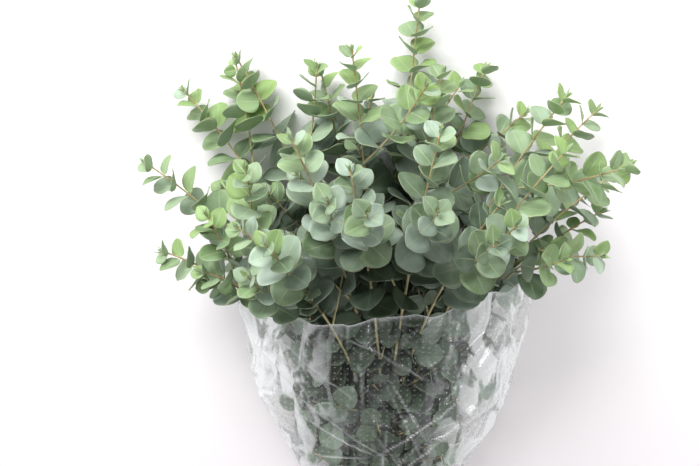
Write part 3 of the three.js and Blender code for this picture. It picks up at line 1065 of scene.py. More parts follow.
    def add_shoot(self, stem: Stem, index: int, share: float) -> None:
        """Grow one side shoot, in the first try that is clear.

        Args:
            stem: the stem.
            index: which of its shoots it is.
            share: how far up the stem it starts, as a share.
        """
        draw = Draw(stem.owner, Stream.SHOOTS + index)
        for attempt in range(RULE.shoot_tries):
            s = stem.twig.length * (share + draw.between(*RULE.shoot_shift))
            length = draw.between(*RULE.shoot_length) * (1 - RULE.shoot_shrink * attempt)
            splay = draw.between(*RULE.shoot_splay) * DEGREE
            shoot = self.shoot(stem.twig, s, length, splay, draw.between(0, 2 * math.pi))
            if self.shoot_fits(stem.owner, shoot):
                self.keep_twig(shoot, stem.owner)
                stem.shoots.append(shoot)
                return

    def fill_sleeve(self, stems: list[Stem]) -> None:
        """Grow what the film hides in the solids: low shoots and leaves that stay inside it.

        Args:
            stems: the grown stems, which the shoots and leaves are added to.
        """
        for index, share in enumerate(INNER.starts):
            for stem in stems:
                self.add_inner_shoot(stem, index, share)
        for stem in stems:
            draw = Draw(stem.owner, Stream.INNER_PAIRS)
            turn = draw.between(0, math.pi)
            for s in range(*INNER.pairs):
                turn += math.pi / 2 + draw.spread(INNER.pair_turn)
                at = s + draw.spread(INNER.pair_shift)
                size = INNER.leaf * draw.between(*INNER.pair_sizes)
                stem.leaves[0] += self.place_pair(
                    stem.owner, stem.twig, at, turn, size, Blade.ROUND, draw, PRESSED
                )

    def fit_inside(self, stem: Stem, shoot: Twig) -> bool:
        """Keep a shoot inside the film, if it clears every stem and leaf so far.

        Args:
            stem: the stem.
            shoot: the shoot.

        Returns:
            Whether it does.
        """
        if not self.shoot_fits(stem.owner, shoot):
            return False
        everything = np.ones(self.blades.count, dtype=bool)
        if any(self.blades.touched(shape, everything) for shape in self.twig_shapes(shoot)):
            return False
        self.keep_twig(shoot, stem.owner)
        stem.shoots.append(shoot)
        return True

    def dress_inside(self, stem: Stem, shoot: Twig, draw: Draw) -> None:
        """Give a shoot inside the film its leaves, pressed to lie along the film.

        Args:
            stem: the stem.
            shoot: the shoot.
            draw: the numbers that vary it.
        """
        leaves: list[Leaf] = []
        at, turn = shoot.length - INNER.from_tip, draw.between(0, math.pi)
        while at > RULE.shoot_bare:
            size = INNER.leaf * draw.between(*INNER.leaf_sizes)
            turn += math.pi / 2 + draw.spread(INNER.leaf_turn)
            leaves += self.place_pair(
                stem.owner, shoot, at, turn, size, Blade.ROUND, draw, PRESSED
            )
            at -= INNER.pitch
        stem.leaves.append(leaves)

    def add_inner_shoot(self, stem: Stem, index: int, share: float) -> None:
        """Grow one low shoot with its leaves, in the first try that stays inside the film.

        Args:
            stem: the stem.
            index: which of its inner shoots it is.
            share: how far up the stem it starts, as a share.
        """
        draw = Draw(stem.owner, Stream.INNER_SHOOTS + index)
        outer = stem.twig.points[-1][0] + draw.spread(INNER.aim_spread)
        sideways = index < INNER.sideways
        splays = INNER.sideways_splay if sideways else INNER.splay
        turns = INNER.sideways_turn if sideways else INNER.turn
        for attempt in range(RULE.shoot_tries):
            s = stem.twig.length * (share + draw.spread(INNER.start_spread))
            length = draw.between(*INNER.length) * (1 - INNER.shrink * attempt)
            splay = draw.between(*splays) * DEGREE
            angle = draw.between(*turns)
            aim = angle if outer > 0 else math.pi - angle
            shoot = self.shoot(stem.twig, s, length, splay, aim)
            if self.fit_inside(stem, shoot):
                self.dress_inside(stem, shoot, draw)
                return


def bezier(points: list[Vec], t: Vec) -> Vec:
    """Give points of a curve of three or four control points.

    Args:
        points: the control points.
        t: shares of the curve.

    Returns:
        One row for each share.
    """
    order = len(points) - 1
    total = np.zeros((len(t), 3))
    for i, point in enumerate(points):
        weight = math.comb(order, i) * t**i * (1 - t) ** (order - i)
        total += np.multiply.outer(weight, point)
    return total


@dataclass
class Soup:
    """A mesh in the making: points with their attributes, and faces with their material."""

    points: list[Vec] = field(default_factory=list)
    faces: list[Vec] = field(default_factory=list)
    slots: list[Vec] = field(default_factory=list)
    values: dict[str, list[Vec]] = field(default_factory=dict)
    count: int = 0

    def add(self, points: Vec, faces: list[Vec], slot: int, **values: Vec) -> None:
        """Add a patch of surface.

        Args:
            points: its points, in millimetres.
            faces: arrays of corners, counted from the patch's own first point.
            slot: the material slot of its faces.
            values: a vector for each point, by attribute.
        """
        self.points.append(points)
        for corners in faces:
            self.faces.append(corners + self.count)
            self.slots.append(np.full(len(corners), slot))
        for name, rows in values.items():
            self.values.setdefault(name, []).append(rows)
        self.count += len(points)

    def build(
        self, name: str, offset: Vec, finishes: list[bpy.types.Material]
    ) -> bpy.types.Object:
        """Make the object, in metres.

        Args:
            name: the object's name.
            offset: where the growth rule's origin is in the row frame, in millimetres.
            finishes: the material of each slot.

        Returns:
            The new object, linked to the scene.
        """
        points = (np.vstack(self.points) + offset) * MM
        faces = [row for corners in self.faces for row in corners.tolist()]
        mesh = bpy.data.meshes.new(name)
        mesh.from_pydata(points.tolist(), [], faces)
        mesh.polygons.foreach_set("material_index", np.concatenate(self.slots).astype(np.int32))
        mesh.polygons.foreach_set("use_smooth", np.ones(len(faces), dtype=bool))
        for key, rows in self.values.items():
            layer = mesh.attributes.new(key, "FLOAT_VECTOR", "POINT")
            layer.data.foreach_set("vector", np.vstack(rows).astype(np.float32).ravel())
        mesh.validate()
        for finish in finishes:
            mesh.materials.append(finish)
        piece = bpy.data.objects.new(name, mesh)
        bpy.context.collection.objects.link(piece)
        return piece


def grid_faces(rows: int, columns: int) -> Vec:
    """Give the quads of a grid of points whose second direction turns left into the first.

    Args:
        rows: how many rows of points there are.
        columns: how many points a row has.

    Returns:
        Four corners for each quad.
    """
    i, j = np.meshgrid(np.arange(rows - 1), np.arange(columns - 1), indexing="ij")
    a = (i * columns + j).ravel()
    return np.stack([a, a + 1, a + columns + 1, a + columns], axis=1)


def shell_faces(rows: int, columns: int) -> Vec:
    """Give the quads of a closed shell of two such grids, the second below the first.

    Args:
        rows: how many rows of points a grid has.
        columns: how many points a row has.

    Returns:
        Four corners for each quad.
    """
    n = rows * columns
    top = grid_faces(rows, columns)
    low = top[:, ::-1] + n
    i = np.arange(rows - 1) * columns
    left = np.stack([i, i + columns, i + columns + n, i + n], axis=1)
    k = i + columns - 1
    right = np.stack([k + n, k + columns + n, k + columns, k], axis=1)
    j = np.arange(columns - 1)
    foot = np.stack([j, j + n, j + 1 + n, j + 1], axis=1)
    m = j + (rows - 1) * columns
    head = np.stack([m + 1, m + 1 + n, m + n, m], axis=1)
    return np.vstack([top, low, left, right, foot, head])


@dataclass(frozen=True)
class LeafForm:
    """The finer form of a leaf, beyond its solid's few corners. Lengths are in millimetres."""

    petiole: float = 0.07
    petiole_half: float = 0.5
    thickness: float = 0.45
    rib_rise: float = 0.32
    rib_width: float = 0.9
    belly: Span = (0.66, 0.45)
    point: Span = (1.0, 0.55)
    fold: float = 0.16
    fold_range: Span = (0.2, 1.5)
    fold_softness: float = 0.04
    wave: float = 0.022
    wave_range: Span = (0.3, 1.6)
    wave_turns: Span = (0.8, 1.9)
    wave_lag: float = 1.7
    twist: float = 0.2
    grown_at: float = 32
    growing_over: float = 18
    fine_above: float = 26
    fine_grid: tuple[int, int] = (12, 7)
    plain_grid: tuple[int, int] = (9, 5)
    narrowest: float = 0.25

    def half_widths(self, t: Vec, youth: float, width: float) -> Vec:
        """Give the share of the width that the blade reaches on either side.

        Args:
            t: shares of the blade's length.
            youth: from 0 for a full-grown round leaf to 1 for a narrow one near a tip.
            width: the leaf's width.

        Returns:
            One share for each t, 0.5 at the widest.
        """
        belly = mix(self.belly[1], self.belly[0], youth)
        point = mix(self.point[1], self.point[0], youth)
        widest = belly / (belly + point)
        rise = (t / widest) ** belly * ((1 - t) / (1 - widest)) ** point
        return np.maximum(0.5 * rise, self.narrowest / width)

    def build(self, leaf: Leaf, shift: Vec, tone: Vec, draw: Draw, soup: Soup, slot: int) -> None:
        """Add one leaf to a mesh.

        Args:
            leaf: where it grows and how it lies.
            shift: from its root on the solid's straight stretch to the smooth twig.
            tone: how much painted shade it takes, how bloomed and how fresh it is, for the finish.
            draw: the numbers that vary its folds and waves.
            soup: the mesh it goes into.
            slot: its material slot there.
        """
        youth = float(np.clip((self.grown_at - leaf.size) / self.growing_over, 0, 1))
        fine = leaf.size > self.fine_above and not leaf.pressed
        rows, columns = self.fine_grid if fine else self.plain_grid
        t = (1 - np.cos(np.pi * np.arange(rows) / (rows - 1))) / 2
        half = self.half_widths(t, youth, leaf.width)
        neck = self.petiole_half / leaf.width
        u = np.concatenate([[0, 0.55 * self.petiole], self.petiole + (1 - self.petiole) * t])
        half = np.concatenate([[1.2 * neck, neck], half])
        place = np.concatenate([[-1, -0.5], t])
        across = np.linspace(-1, 1, columns)
        grid_u = np.repeat(u, columns)
        grid_t = np.repeat(np.maximum(place, 0), columns)
        side = np.tile(across, len(u))
        v = np.repeat(half, columns) * side
        points = leaf.surface(grid_u, v)
        fold = self.fold * draw.between(*self.fold_range)
        turns, phase = draw.between(*self.wave_turns), draw.between(0, 2 * math.pi)
        wave = self.wave * leaf.length * draw.between(*self.wave_range)
        twist = draw.spread(self.twist)
        soft = self.fold_softness
        lift = fold * (np.sqrt(v * v + soft * soft) - soft) * leaf.width
        lift = lift + twist * grid_u * v * leaf.width
        ripple = 2 * math.pi * turns * grid_t + phase + self.wave_lag * side
        lift += wave * np.sin(ripple) * side * side
        points += np.multiply.outer(lift * np.minimum(1, 4 * grid_u), leaf.face)
        points += np.multiply.outer(np.maximum(0, 1 - 3 * grid_u) ** 2, shift)
        floor = FILM.floor(points) + self.thickness / 2
        points[:, 2] = np.maximum(points[:, 2], floor)
        net = points.reshape(len(u), columns, 3)
        normal = np.cross(np.gradient(net, axis=1), np.gradient(net, axis=0)).reshape(-1, 3)
        normal /= np.maximum(np.linalg.norm(normal, axis=1, keepdims=True), TINY)
        stalk = np.repeat(place < 0, columns)
        top = np.where(stalk, self.petiole_half, self.thickness / 2)
        rib = self.rib_rise * np.exp(-((v * leaf.width / self.rib_width) ** 2)) * (1 - grid_t)
        low = np.where(stalk, self.petiole_half, self.thickness / 2 + rib)
        both = np.vstack([points + normal * top[:, None], points - normal * low[:, None]])
        where = np.stack([np.repeat(place, columns), side, np.ones(len(v))], axis=1)
        under = where * np.array([1, 1, 0])
        span = np.stack([grid_u * leaf.length, v * leaf.width, np.zeros(len(v))], axis=1) * MM
        soup.add(
            both,
            [shell_faces(len(u), columns)],
            slot,
            leaf_place=np.vstack([where, under]),
            leaf_span=np.vstack([span, span]),
            leaf_shade_and_tone=np.tile(tone, (2 * len(v), 1)),
        )


@dataclass(frozen=True)
class TwigForm:
    """The finer form of a stem or shoot: smooth along its length, swollen at each leaf pair."""

    sides: int = 10
    steps: int = 6
    swelling: float = 0.32
    swell_length: float = 3.2
    least_step: float = 0.4
    bud_length: float = 1.4

    def curve(self, twig: Twig) -> Vec:
        """Give points along the smooth curve that the solid's straight stretches follow.

        Args:
            twig: the twig.

        Returns:
            One row for each point.
        """
        first = len(twig.points) - 1 - twig.curved
        t = np.linspace(0, 1, twig.curved * self.steps + 1)
        run = bezier(twig.controls, t)
        if first:
            start = np.linspace(0, 1, 2 * self.steps, endpoint=False)[:, None]
            run = np.vstack([twig.points[0] + (twig.points[1] - twig.points[0]) * start, run])
        return run

    def root_shift(self, twig: Twig, s: float) -> Vec:
        """Give the way from a point of the solid's twig to the same point of the smooth one.

        Args:
            twig: the twig.
            s: how far along it.

        Returns:
            The way, in millimetres.
        """
        first = len(twig.points) - 1 - twig.curved
        i = int(np.searchsorted(twig.lengths, s)) - 1
        if i < first:
            return np.zeros(3)
        share = (s - twig.lengths[i]) / (twig.lengths[i + 1] - twig.lengths[i])
        t = np.array([(i - first + share) / twig.curved])
        return bezier(twig.controls, t)[0] - twig.at(s)

    def build(
        self, twig: Twig, nodes: list[float], start_age: float, soup: Soup, slot: int
    ) -> None:
        """Add one stem or shoot to a mesh.

        Args:
            twig: its path and radii.
            nodes: how far along it each leaf pair stands.
            start_age: its age at its own start, where 0 is the cut end and 1 is a tip.
            soup: the mesh it goes into.
            slot: its material slot there.
        """
        run = self.curve(twig)
        s = np.concatenate([[0], np.cumsum(np.linalg.norm(np.diff(run, axis=0), axis=1))])
        stations = [s]
        for node in nodes:
            stations.append(node + self.swell_length * np.array([-1, -0.5, 0, 0.5, 1]))
        fine = np.unique(np.clip(np.concatenate(stations), 0, s[-1]))
        fine = fine[np.concatenate([[True], np.diff(fine) > self.least_step])]
        run = np.stack([np.interp(fine, s, run[:, k]) for k in range(3)], axis=1)
        radii = np.interp(fine / fine[-1], [0, 1], [twig.radii[0], twig.radii[-1]])
        for node in nodes:
            away = (fine - node) / self.swell_length * 2
            radii = radii * (1 + self.swelling * np.exp(-(away**2)))
        along = np.gradient(run, axis=0)
        along /= np.linalg.norm(along, axis=1, keepdims=True)
        normal = unit(cross(along[0], UP))
        rings = []
        angles = np.linspace(0, 2 * math.pi, self.sides, endpoint=False)
        for point, direction, radius in zip(run, along, radii):
            normal = unit(normal - direction * float(normal @ direction))
            other = cross(direction, normal)
            ring = np.multiply.outer(np.cos(angles), normal)
            ring = ring + np.multiply.outer(np.sin(angles), other)
            rings.append(point + ring * radius)
        tip = run[-1] + along[-1] * radii[-1] * self.bud_length
        points = np.vstack([run[0], *rings, tip])
        n, rows = self.sides, len(rings)
        i, k = np.meshgrid(np.arange(rows - 1), np.arange(n), indexing="ij")
        a, b = (1 + i * n + k).ravel(), (1 + i * n + (k + 1) % n).ravel()
        ring = np.arange(n)
        foot = np.stack([np.zeros(n, dtype=int), 1 + (ring + 1) % n, 1 + ring], axis=1)
        last = 1 + (rows - 1) * n
        head = np.stack([last + ring, last + (ring + 1) % n, np.full(n, last + n)], axis=1)
        age = start_age + (1 - start_age) * fine / fine[-1]
        ages = np.concatenate([[age[0]], np.repeat(age, n), [1]])
        out = np.concatenate([[0], np.ones(rows * n + 1)])
        turn = np.concatenate([[0], np.tile(angles / (2 * math.pi), rows), [0]])
        reach = np.concatenate([[0], np.repeat(fine, n), [fine[-1]]]) * MM
        blank = np.zeros(len(points))
        soup.add(
            points,
            [np.stack([a, b, b + n, a + n], axis=1), foot, head],
            slot,
            leaf_place=np.stack([ages, out, turn], axis=1),
            leaf_span=np.stack([reach, blank, blank], axis=1),
            leaf_shade_and_tone=np.zeros((len(points), 3)),
        )


class Socket(Enum):
    """The kinds of socket that a shader node group has."""

    VALUE = "NodeSocketFloat"
    VECTOR = "NodeSocketVector"


@dataclass
class NodeKit:
    """Short calls that add nodes to one tree and join them."""

    tree: bpy.types.NodeTree

    def add(self, kind: str, **settings: object) -> bpy.types.Node:
        """Add a node.

        Args:
            kind: the node's type, without its ShaderNode prefix.
            settings: properties by name, and inputs with their values or the sockets to join.

        Returns:
            The node.
        """
        node = self.tree.nodes.new(kind if kind.startswith("Node") else f"ShaderNode{kind}")
        inputs = settings.pop("inputs", {})
        for name, value in settings.items():
            setattr(node, name, value)
        for key, value in inputs.items():
            if isinstance(value, bpy.types.NodeSocket):
                self.tree.links.new(value, node.inputs[key])
            else:
                node.inputs[key].default_value = value
        return node

    def math(self, operation: str, *values: object) -> bpy.types.NodeSocket:
        """Work out one number from others."""
        node = self.add("Math", operation=operation, inputs=dict(enumerate(values)))
        return node.outputs[0]

    def blend(self, share: object, a: object, b: object) -> bpy.types.NodeSocket:
        """Mix two colours by a share."""
        node = self.add("Mix", data_type="RGBA", inputs={0: share, 6: a, 7: b})
        return node.outputs[2]

    def ramp(self, value: object, low: float, high: float, a: float = 0, b: float = 1) -> object:
        """Map a number smoothly from one range to another, and hold it at both ends.

        Args:
            value: the number.
            low: where the first range starts.
            high: where it ends.
            a: what low becomes.
            b: what high becomes.

        Returns:
            The result's socket.
        """
        inputs = {0: value, 1: low, 2: high, 3: a, 4: b}
        node = self.add("MapRange", interpolation_type="SMOOTHSTEP", inputs=inputs)
        return node.outputs[0]

    def bump(
        self, shader: bpy.types.Node, strength: float, distance: float, height: object
    ) -> None:
        """Join a bump to a shader's normal.

        Args:
            shader: the shader.
            strength: how much of the bump shows.
            distance: how high it is, in metres.
            height: the socket with its height, from 0 to 1.
        """
        inputs = {"Strength": strength, "Distance": distance, "Height": height}
        node = self.add("Bump", inputs=inputs)
        self.tree.links.new(node.outputs[0], shader.inputs["Normal"])

    def attribute(self, name: str) -> bpy.types.NodeSocket:
        """Read a vector that the mesh holds at each point."""
        return self.add("Attribute", attribute_name=name).outputs["Vector"]

    def split(self, vector: bpy.types.NodeSocket) -> list[bpy.types.NodeSocket]:
        """Split a vector into its three numbers."""
        return list(self.add("SeparateXYZ", inputs={0: vector}).outputs)

    def noise(
        self, vector: object, scale: float, detail: float = 2, **more: float
    ) -> bpy.types.Node:
        """Add noise of a scale, in waves to the metre where the vector is in metres."""
        inputs = {"Vector": vector, "Scale": scale, "Detail": detail, **more}
        return self.add("TexNoise", inputs=inputs)


def new_group(
    name: str, inputs: dict[str, tuple], outputs: dict[str, Socket]
) -> bpy.types.NodeTree:
    """Make an empty shader node group.

    Args:
        name: the group's name.
        inputs: each input's socket kind and first value.
        outputs: each output's socket kind.

    Returns:
        The group's tree.
    """
    tree = bpy.data.node_groups.new(name, "ShaderNodeTree")
    for key, (kind, value) in inputs.items():
        socket = tree.interface.new_socket(name=key, in_out="INPUT", socket_type=kind.value)
        if value is not None:
            socket.default_value = value
    for key, kind in outputs.items():
        tree.interface.new_socket(name=key, in_out="OUTPUT", socket_type=kind.value)
    return tree


def mottle_group() -> bpy.types.NodeTree:
    """Make the group for soft blotches with fine speckles, which leaves and bark share.

    Returns:
        A group from a place and two scales to a blotch mask and a speckle mask.
    """
    tree = new_group(
        "mottle",
        {
            "Place": (Socket.VECTOR, None),
            "Blotches": (Socket.VALUE, 70.0),
            "Speckles": (Socket.VALUE, 900.0),
        },
        {"Blotch": Socket.VALUE, "Speckle": Socket.VALUE},
    )
    kit = NodeKit(tree)
    given = kit.add("NodeGroupInput").outputs
    cloud = kit.noise(given["Place"], 1.0, 3)
    tree.links.new(given["Blotches"], cloud.inputs["Scale"])
    spots = kit.add("TexVoronoi", feature="F1", inputs={"Vector": given["Place"]})
    tree.links.new(given["Speckles"], spots.inputs["Scale"])
    result = kit.add("NodeGroupOutput")
    tree.links.new(kit.ramp(cloud.outputs[0], 0.36, 0.66), result.inputs["Blotch"])
    tree.links.new(kit.ramp(spots.outputs["Distance"], 0.12, 0.34, 1, 0), result.inputs["Speckle"])
    return tree


def vein_group() -> bpy.types.NodeTree:
    """Make the group for a leaf's midrib, side veins and margin.

    Returns:
        A group from a leaf's place and span to masks for the rib, the side veins and the margin.
    """
    tree = new_group(
        "leaf_veins",
        {
            "Place": (Socket.VECTOR, None),
            "Span": (Socket.VECTOR, None),
            "Pairs": (Socket.VALUE, 9.0),
        },
        {"Rib": Socket.VALUE, "Veins": Socket.VALUE, "Margin": Socket.VALUE},
    )
    kit = NodeKit(tree)
    given = kit.add("NodeGroupInput").outputs
    along, across, _ = kit.split(given["Place"])
    _, width, _ = kit.split(given["Span"])
    out = kit.math("ABSOLUTE", across)
    rib = kit.ramp(kit.math("ABSOLUTE", width), 0.00025, 0.0009, 1, 0)
    rib = kit.math("MULTIPLY", rib, kit.ramp(along, 0.5, 1.0, 1, 0.25))
    slant = kit.math("SUBTRACT", along, kit.math("MULTIPLY", out, 0.34))
    wave = kit.math("FRACT", kit.math("MULTIPLY", slant, given["Pairs"]))
    near = kit.math("ABSOLUTE", kit.math("SUBTRACT", wave, 0.5))
    veins = kit.math("MULTIPLY", kit.ramp(near, 0.0, 0.09, 1, 0), kit.ramp(out, 0.72, 0.9, 1, 0))
    loop = kit.ramp(kit.math("ABSOLUTE", kit.math("SUBTRACT", out, 0.86)), 0.0, 0.03, 1, 0)
    result = kit.add("NodeGroupOutput")
    tree.links.new(rib, result.inputs["Rib"])
    tree.links.new(kit.math("MAXIMUM", veins, loop), result.inputs["Veins"])
    tree.links.new(kit.ramp(out, 0.93, 0.99), result.inputs["Margin"])
    return tree


def new_material(name: str) -> tuple[bpy.types.Material, NodeKit, bpy.types.Node]:
    """Make a material with one Principled shader.

    Args:
        name: the material's name.
    """
    material = bpy.data.materials.new(name)
    material.use_nodes = True
    kit = NodeKit(material.node_tree)
    return material, kit, material.node_tree.nodes["Principled BSDF"]


@dataclass(frozen=True)
class LeafFinish:
    """Waxy eucalyptus leaf: a pale grey bloom over green, yellower on young and outer leaves, with painted shade that
    darkens leaves in the heart of the bunch and inside the film.
    """

    bloom: Colour = (0.40, 0.50, 0.43, 1)
    deep: Colour = (0.06, 0.11, 0.055, 1)
    fresh: Colour = (0.26, 0.41, 0.11, 1)
    underside: Colour = (0.33, 0.41, 0.33, 1)
    vein: Colour = (0.42, 0.50, 0.28, 1)
    rim: Colour = (0.42, 0.40, 0.22, 1)
    # Painted shade: the near-black green that leaves are darkened towards where shade falls.
    painted_shade_green: Colour = (0.02, 0.035, 0.015, 1)
    roughness: Span = (0.42, 0.62)
    shine: float = 0.42
    dust: Span = (0.75, 0.06)
    blotched: float = 0.2
    speckled: float = 0.16
    veined: float = 0.22
    ribbed: float = 0.62
    rimmed: float = 0.45
    grain: float = 1400

    def material(self, mottle: bpy.types.NodeTree, veins: bpy.types.NodeTree) -> bpy.types.Material:
        """Make the material from the two shared groups.

        Args:
            mottle: the group for blotches and speckles.
            veins: the group for veins.

        Returns:
            The material.
        """
        material, kit, shader = new_material("eucalyptus_leaf")
        links = material.node_tree.links
        place, span = kit.attribute("leaf_place"), kit.attribute("leaf_span")
        # shade is the share of painted shade; light is the share of bloom and hue the share of fresh green, both
        # already lowered where shade is painted.
        shade, light, hue = kit.split(kit.attribute("leaf_shade_and_tone"))
        _, _, upper = kit.split(place)
        spot = kit.add("TexCoord").outputs["Object"]
        blotch = kit.add("Group", node_tree=mottle, inputs={"Place": spot})
        lines = kit.add("Group", node_tree=veins, inputs={"Place": place, "Span": span})
        green = kit.blend(hue, self.deep, self.fresh)
        bloom_less_shade = kit.math("MULTIPLY_ADD", light, *self.dust)
        bloom_less_shade = kit.math("MULTIPLY_ADD", blotch.outputs["Blotch"], self.blotched, bloom_less_shade)
        bloom_less_shade = kit.math("MULTIPLY", bloom_less_shade, kit.ramp(hue, 0.2, 1.0, 1, 0.3))
        face = kit.blend(bloom_less_shade, green, self.bloom)
        below = kit.blend(kit.math("MULTIPLY", hue, 0.5), self.underside, self.fresh)
        colour = kit.blend(upper, below, face)
        for mask, share, other in (
            (blotch.outputs["Speckle"], self.speckled, self.deep),
            (lines.outputs["Veins"], self.veined, self.vein),
            (lines.outputs["Rib"], self.ribbed, self.vein),
            (lines.outputs["Margin"], self.rimmed, self.rim),
        ):
            colour = kit.blend(kit.math("MULTIPLY", mask, share), colour, other)
        # Painted shade: leaves in the heart of the bunch and inside the film are darkened towards a near-black green.
        colour = kit.blend(shade, colour, self.painted_shade_green)
        links.new(colour, shader.inputs["Base Color"])
        rough = kit.ramp(blotch.outputs["Blotch"], 0, 1, *self.roughness)
        links.new(rough, shader.inputs["Roughness"])
        side_veins = kit.math("MULTIPLY", lines.outputs["Veins"], 0.5)
        height = kit.math("ADD", lines.outputs["Rib"], side_veins)
        grain = kit.noise(spot, self.grain, 1).outputs[0]
        height = kit.math("MULTIPLY_ADD", grain, 0.25, kit.math("MULTIPLY", height, -1))
        kit.bump(shader, 0.35, 0.0003, height)
        shader.inputs["Specular IOR Level"].default_value = self.shine
        return material


@dataclass(frozen=True)
class BarkFinish:
    """Smooth young bark: tan at the cut end, yellow-green higher up, flushed red near the tips."""

    tan: Colour = (0.33, 0.24, 0.14, 1)
    straw: Colour = (0.42, 0.38, 0.20, 1)
    flush: Colour = (0.36, 0.20, 0.10, 1)
    pith: Colour = (0.62, 0.56, 0.38, 1)
    speckled: float = 0.3
    roughness: float = 0.55

    def material(self, mottle: bpy.types.NodeTree) -> bpy.types.Material:
        """Make the material from the shared group.

        Args:
            mottle: the group for blotches and speckles.

        Returns:
            The material.
        """
        material, kit, shader = new_material("young_bark")
        links = material.node_tree.links
        age, out, _ = kit.split(kit.attribute("leaf_place"))
        spot = kit.add("TexCoord").outputs["Object"]
        inputs = {"Place": spot, "Blotches": 160.0, "Speckles": 1300.0}
        blotch = kit.add("Group", node_tree=mottle, inputs=inputs)
        colour = kit.blend(kit.ramp(age, 0.15, 0.55), self.tan, self.straw)
        flushed = kit.math("MULTIPLY", kit.ramp(age, 0.7, 0.97), blotch.outputs["Blotch"])
        colour = kit.blend(flushed, colour, self.flush)
        highlight_masks = kit.math("MULTIPLY", blotch.outputs["Speckle"], self.speckled)
        colour = kit.blend(highlight_masks, colour, self.flush)
        colour = kit.blend(kit.ramp(out, 0.6, 0.98, 1, 0), colour, self.pith)
        links.new(colour, shader.inputs["Base Color"])
        kit.bump(shader, 0.3, 0.0002, blotch.outputs["Blotch"])
        shader.inputs["Roughness"].default_value = self.roughness
        return material


@dataclass(frozen=True)
class FilmFinish:
    """Clear packing film: glossy and nearly clear, with painted highlights: white streaks, bright creases, a bright
    rim and whiter sides.
    """

    clear: Colour = (0.3, 0.31, 0.32, 1)
    # The white of the painted highlights on streaks, creases, rim and sides.
    painted_highlight_white: Colour = (0.92, 0.94, 0.95, 1)
    roughness: float = 0.14
    refraction: float = 1.6
    clear_share: float = 0.015
    painted_highlight_share: float = 0.5
    streak_turn: float = 0.95
    streak_scale: float = 34
    streak_edges: Span = (0.47, 0.57)
    crinkle_scale: float = 120
    stretch: Span = (0.36, 0.35)
    facing_power: float = 3.5
    facing_share: float = 0.4
    # Alpha added by the painted highlights along creases and the rim.
    crease_share: float = 0.45
    rim_share: float = 0.35
    hole_share: float = 0.3
    most: float = 0.9

    def material(self, punched: bpy.types.NodeTree) -> bpy.types.Material:
        """Make the material from the group for the punched holes.

        Args:
            punched: the group for the holes.

        Returns:
            The material.
        """
        material, kit, shader = new_material("clear_film")
        links = material.node_tree.links
        flat = kit.attribute("film_flat")
        # Masks for the painted highlights along creases and the rim, and which way the streaks run.
        crease, rim, side = kit.split(kit.attribute("film_highlight_masks"))
        shader.inputs["Roughness"].default_value = self.roughness
        shader.inputs["IOR"].default_value = self.refraction
        holes = kit.add("Group", node_tree=punched, inputs={"Flat": flat})
        # Painted highlights: two sets of white diagonal streaks stand in for reflections in the creased film.
        streaks = []
        for turn in (self.streak_turn, -self.streak_turn):
            scale = (1.0, self.stretch[0], 1.0)
            place = kit.add("Mapping", inputs={0: flat, 2: (0, 0, turn), 3: scale})
            cloud = kit.noise(place.outputs[0], self.streak_scale, 3, Distortion=0.9).outputs[0]
            streaks.append(kit.ramp(cloud, *self.streak_edges))
        across, _, _ = kit.split(flat)
        # Painted reflection: streaks grow stronger and the film whiter towards its sides.
        sides = kit.ramp(kit.math("ABSOLUTE", across), 0.035, 0.14, 0.1, 1)
        streak = kit.math("MULTIPLY", kit.blend(side, *streaks), sides)
        scale = (1.0, self.stretch[1], 1.0)
        crinkles = kit.add("Mapping", inputs={0: flat, 3: scale}).outputs[0]
        height = kit.noise(crinkles, self.crinkle_scale, 3, Distortion=1.4).outputs[0]
        kit.bump(shader, 0.1, 0.001, height)
        # Painted reflection: the film is less clear towards its sides.
        painted_side_sheen = kit.ramp(kit.math("ABSOLUTE", across), 0.05, 0.2, 0, 0.12)
        marked = kit.math("MAXIMUM", streak, crease)
        # Painted highlights whiten the base colour along the streaks, creases, rim and sides.
        white = kit.math("MAXIMUM", marked, kit.math("MAXIMUM", rim, sides))
        links.new(kit.blend(white, self.clear, self.painted_highlight_white), shader.inputs["Base Color"])
        edge = kit.add("LayerWeight", inputs={"Blend": 0.3}).outputs["Facing"]
        facing = kit.math("POWER", edge, self.facing_power)
        share = kit.math("MULTIPLY_ADD", facing, self.facing_share, self.clear_share)
        share = kit.math("ADD", painted_side_sheen, kit.math("MULTIPLY_ADD", streak, self.painted_highlight_share, share))
        share = kit.math("MULTIPLY_ADD", crease, self.crease_share, share)
        share = kit.math("MULTIPLY_ADD", rim, self.rim_share, share)
        share = kit.math("MULTIPLY_ADD", holes.outputs["Ring"], self.hole_share, share)
        share = kit.math("MULTIPLY", share, holes.outputs["Film"])
        links.new(kit.math("MINIMUM", share, self.most), shader.inputs["Alpha"])
        return material


def punch_group() -> bpy.types.NodeTree:
    """Make the group for the film's rows of fine punched holes.

    Returns:
        A group from a place on the flat film to masks for the film and each hole's raised ring.
    """
    tree = new_group(
        "punched_holes",
        {
            "Flat": (Socket.VECTOR, None),
            "Pitch": (Socket.VALUE, 0.0085),
            "Radius": (Socket.VALUE, 0.00055),
        },
        {"Film": Socket.VALUE, "Ring": Socket.VALUE},
    )
    kit = NodeKit(tree)
    given = kit.add("NodeGroupInput").outputs
    x, y, _ = kit.split(given["Flat"])
    offsets = []
    for value in (x, y):
        cell = kit.math("FRACT", kit.math("DIVIDE", value, given["Pitch"]))
        offsets.append(kit.math("MULTIPLY", kit.math("SUBTRACT", cell, 0.5), given["Pitch"]))
    away = kit.math("SQRT", kit.math("ADD", *(kit.math("MULTIPLY", o, o) for o in offsets)))
    share = kit.math("DIVIDE", away, given["Radius"])
    result = kit.add("NodeGroupOutput")
    tree.links.new(kit.ramp(share, 0.8, 1.0), result.inputs["Film"])
    ring = kit.ramp(kit.math("ABSOLUTE", kit.math("SUBTRACT", share, 1.5)), 0.2, 0.7, 1, 0)
    tree.links.new(ring, result.inputs["Ring"])
    return tree


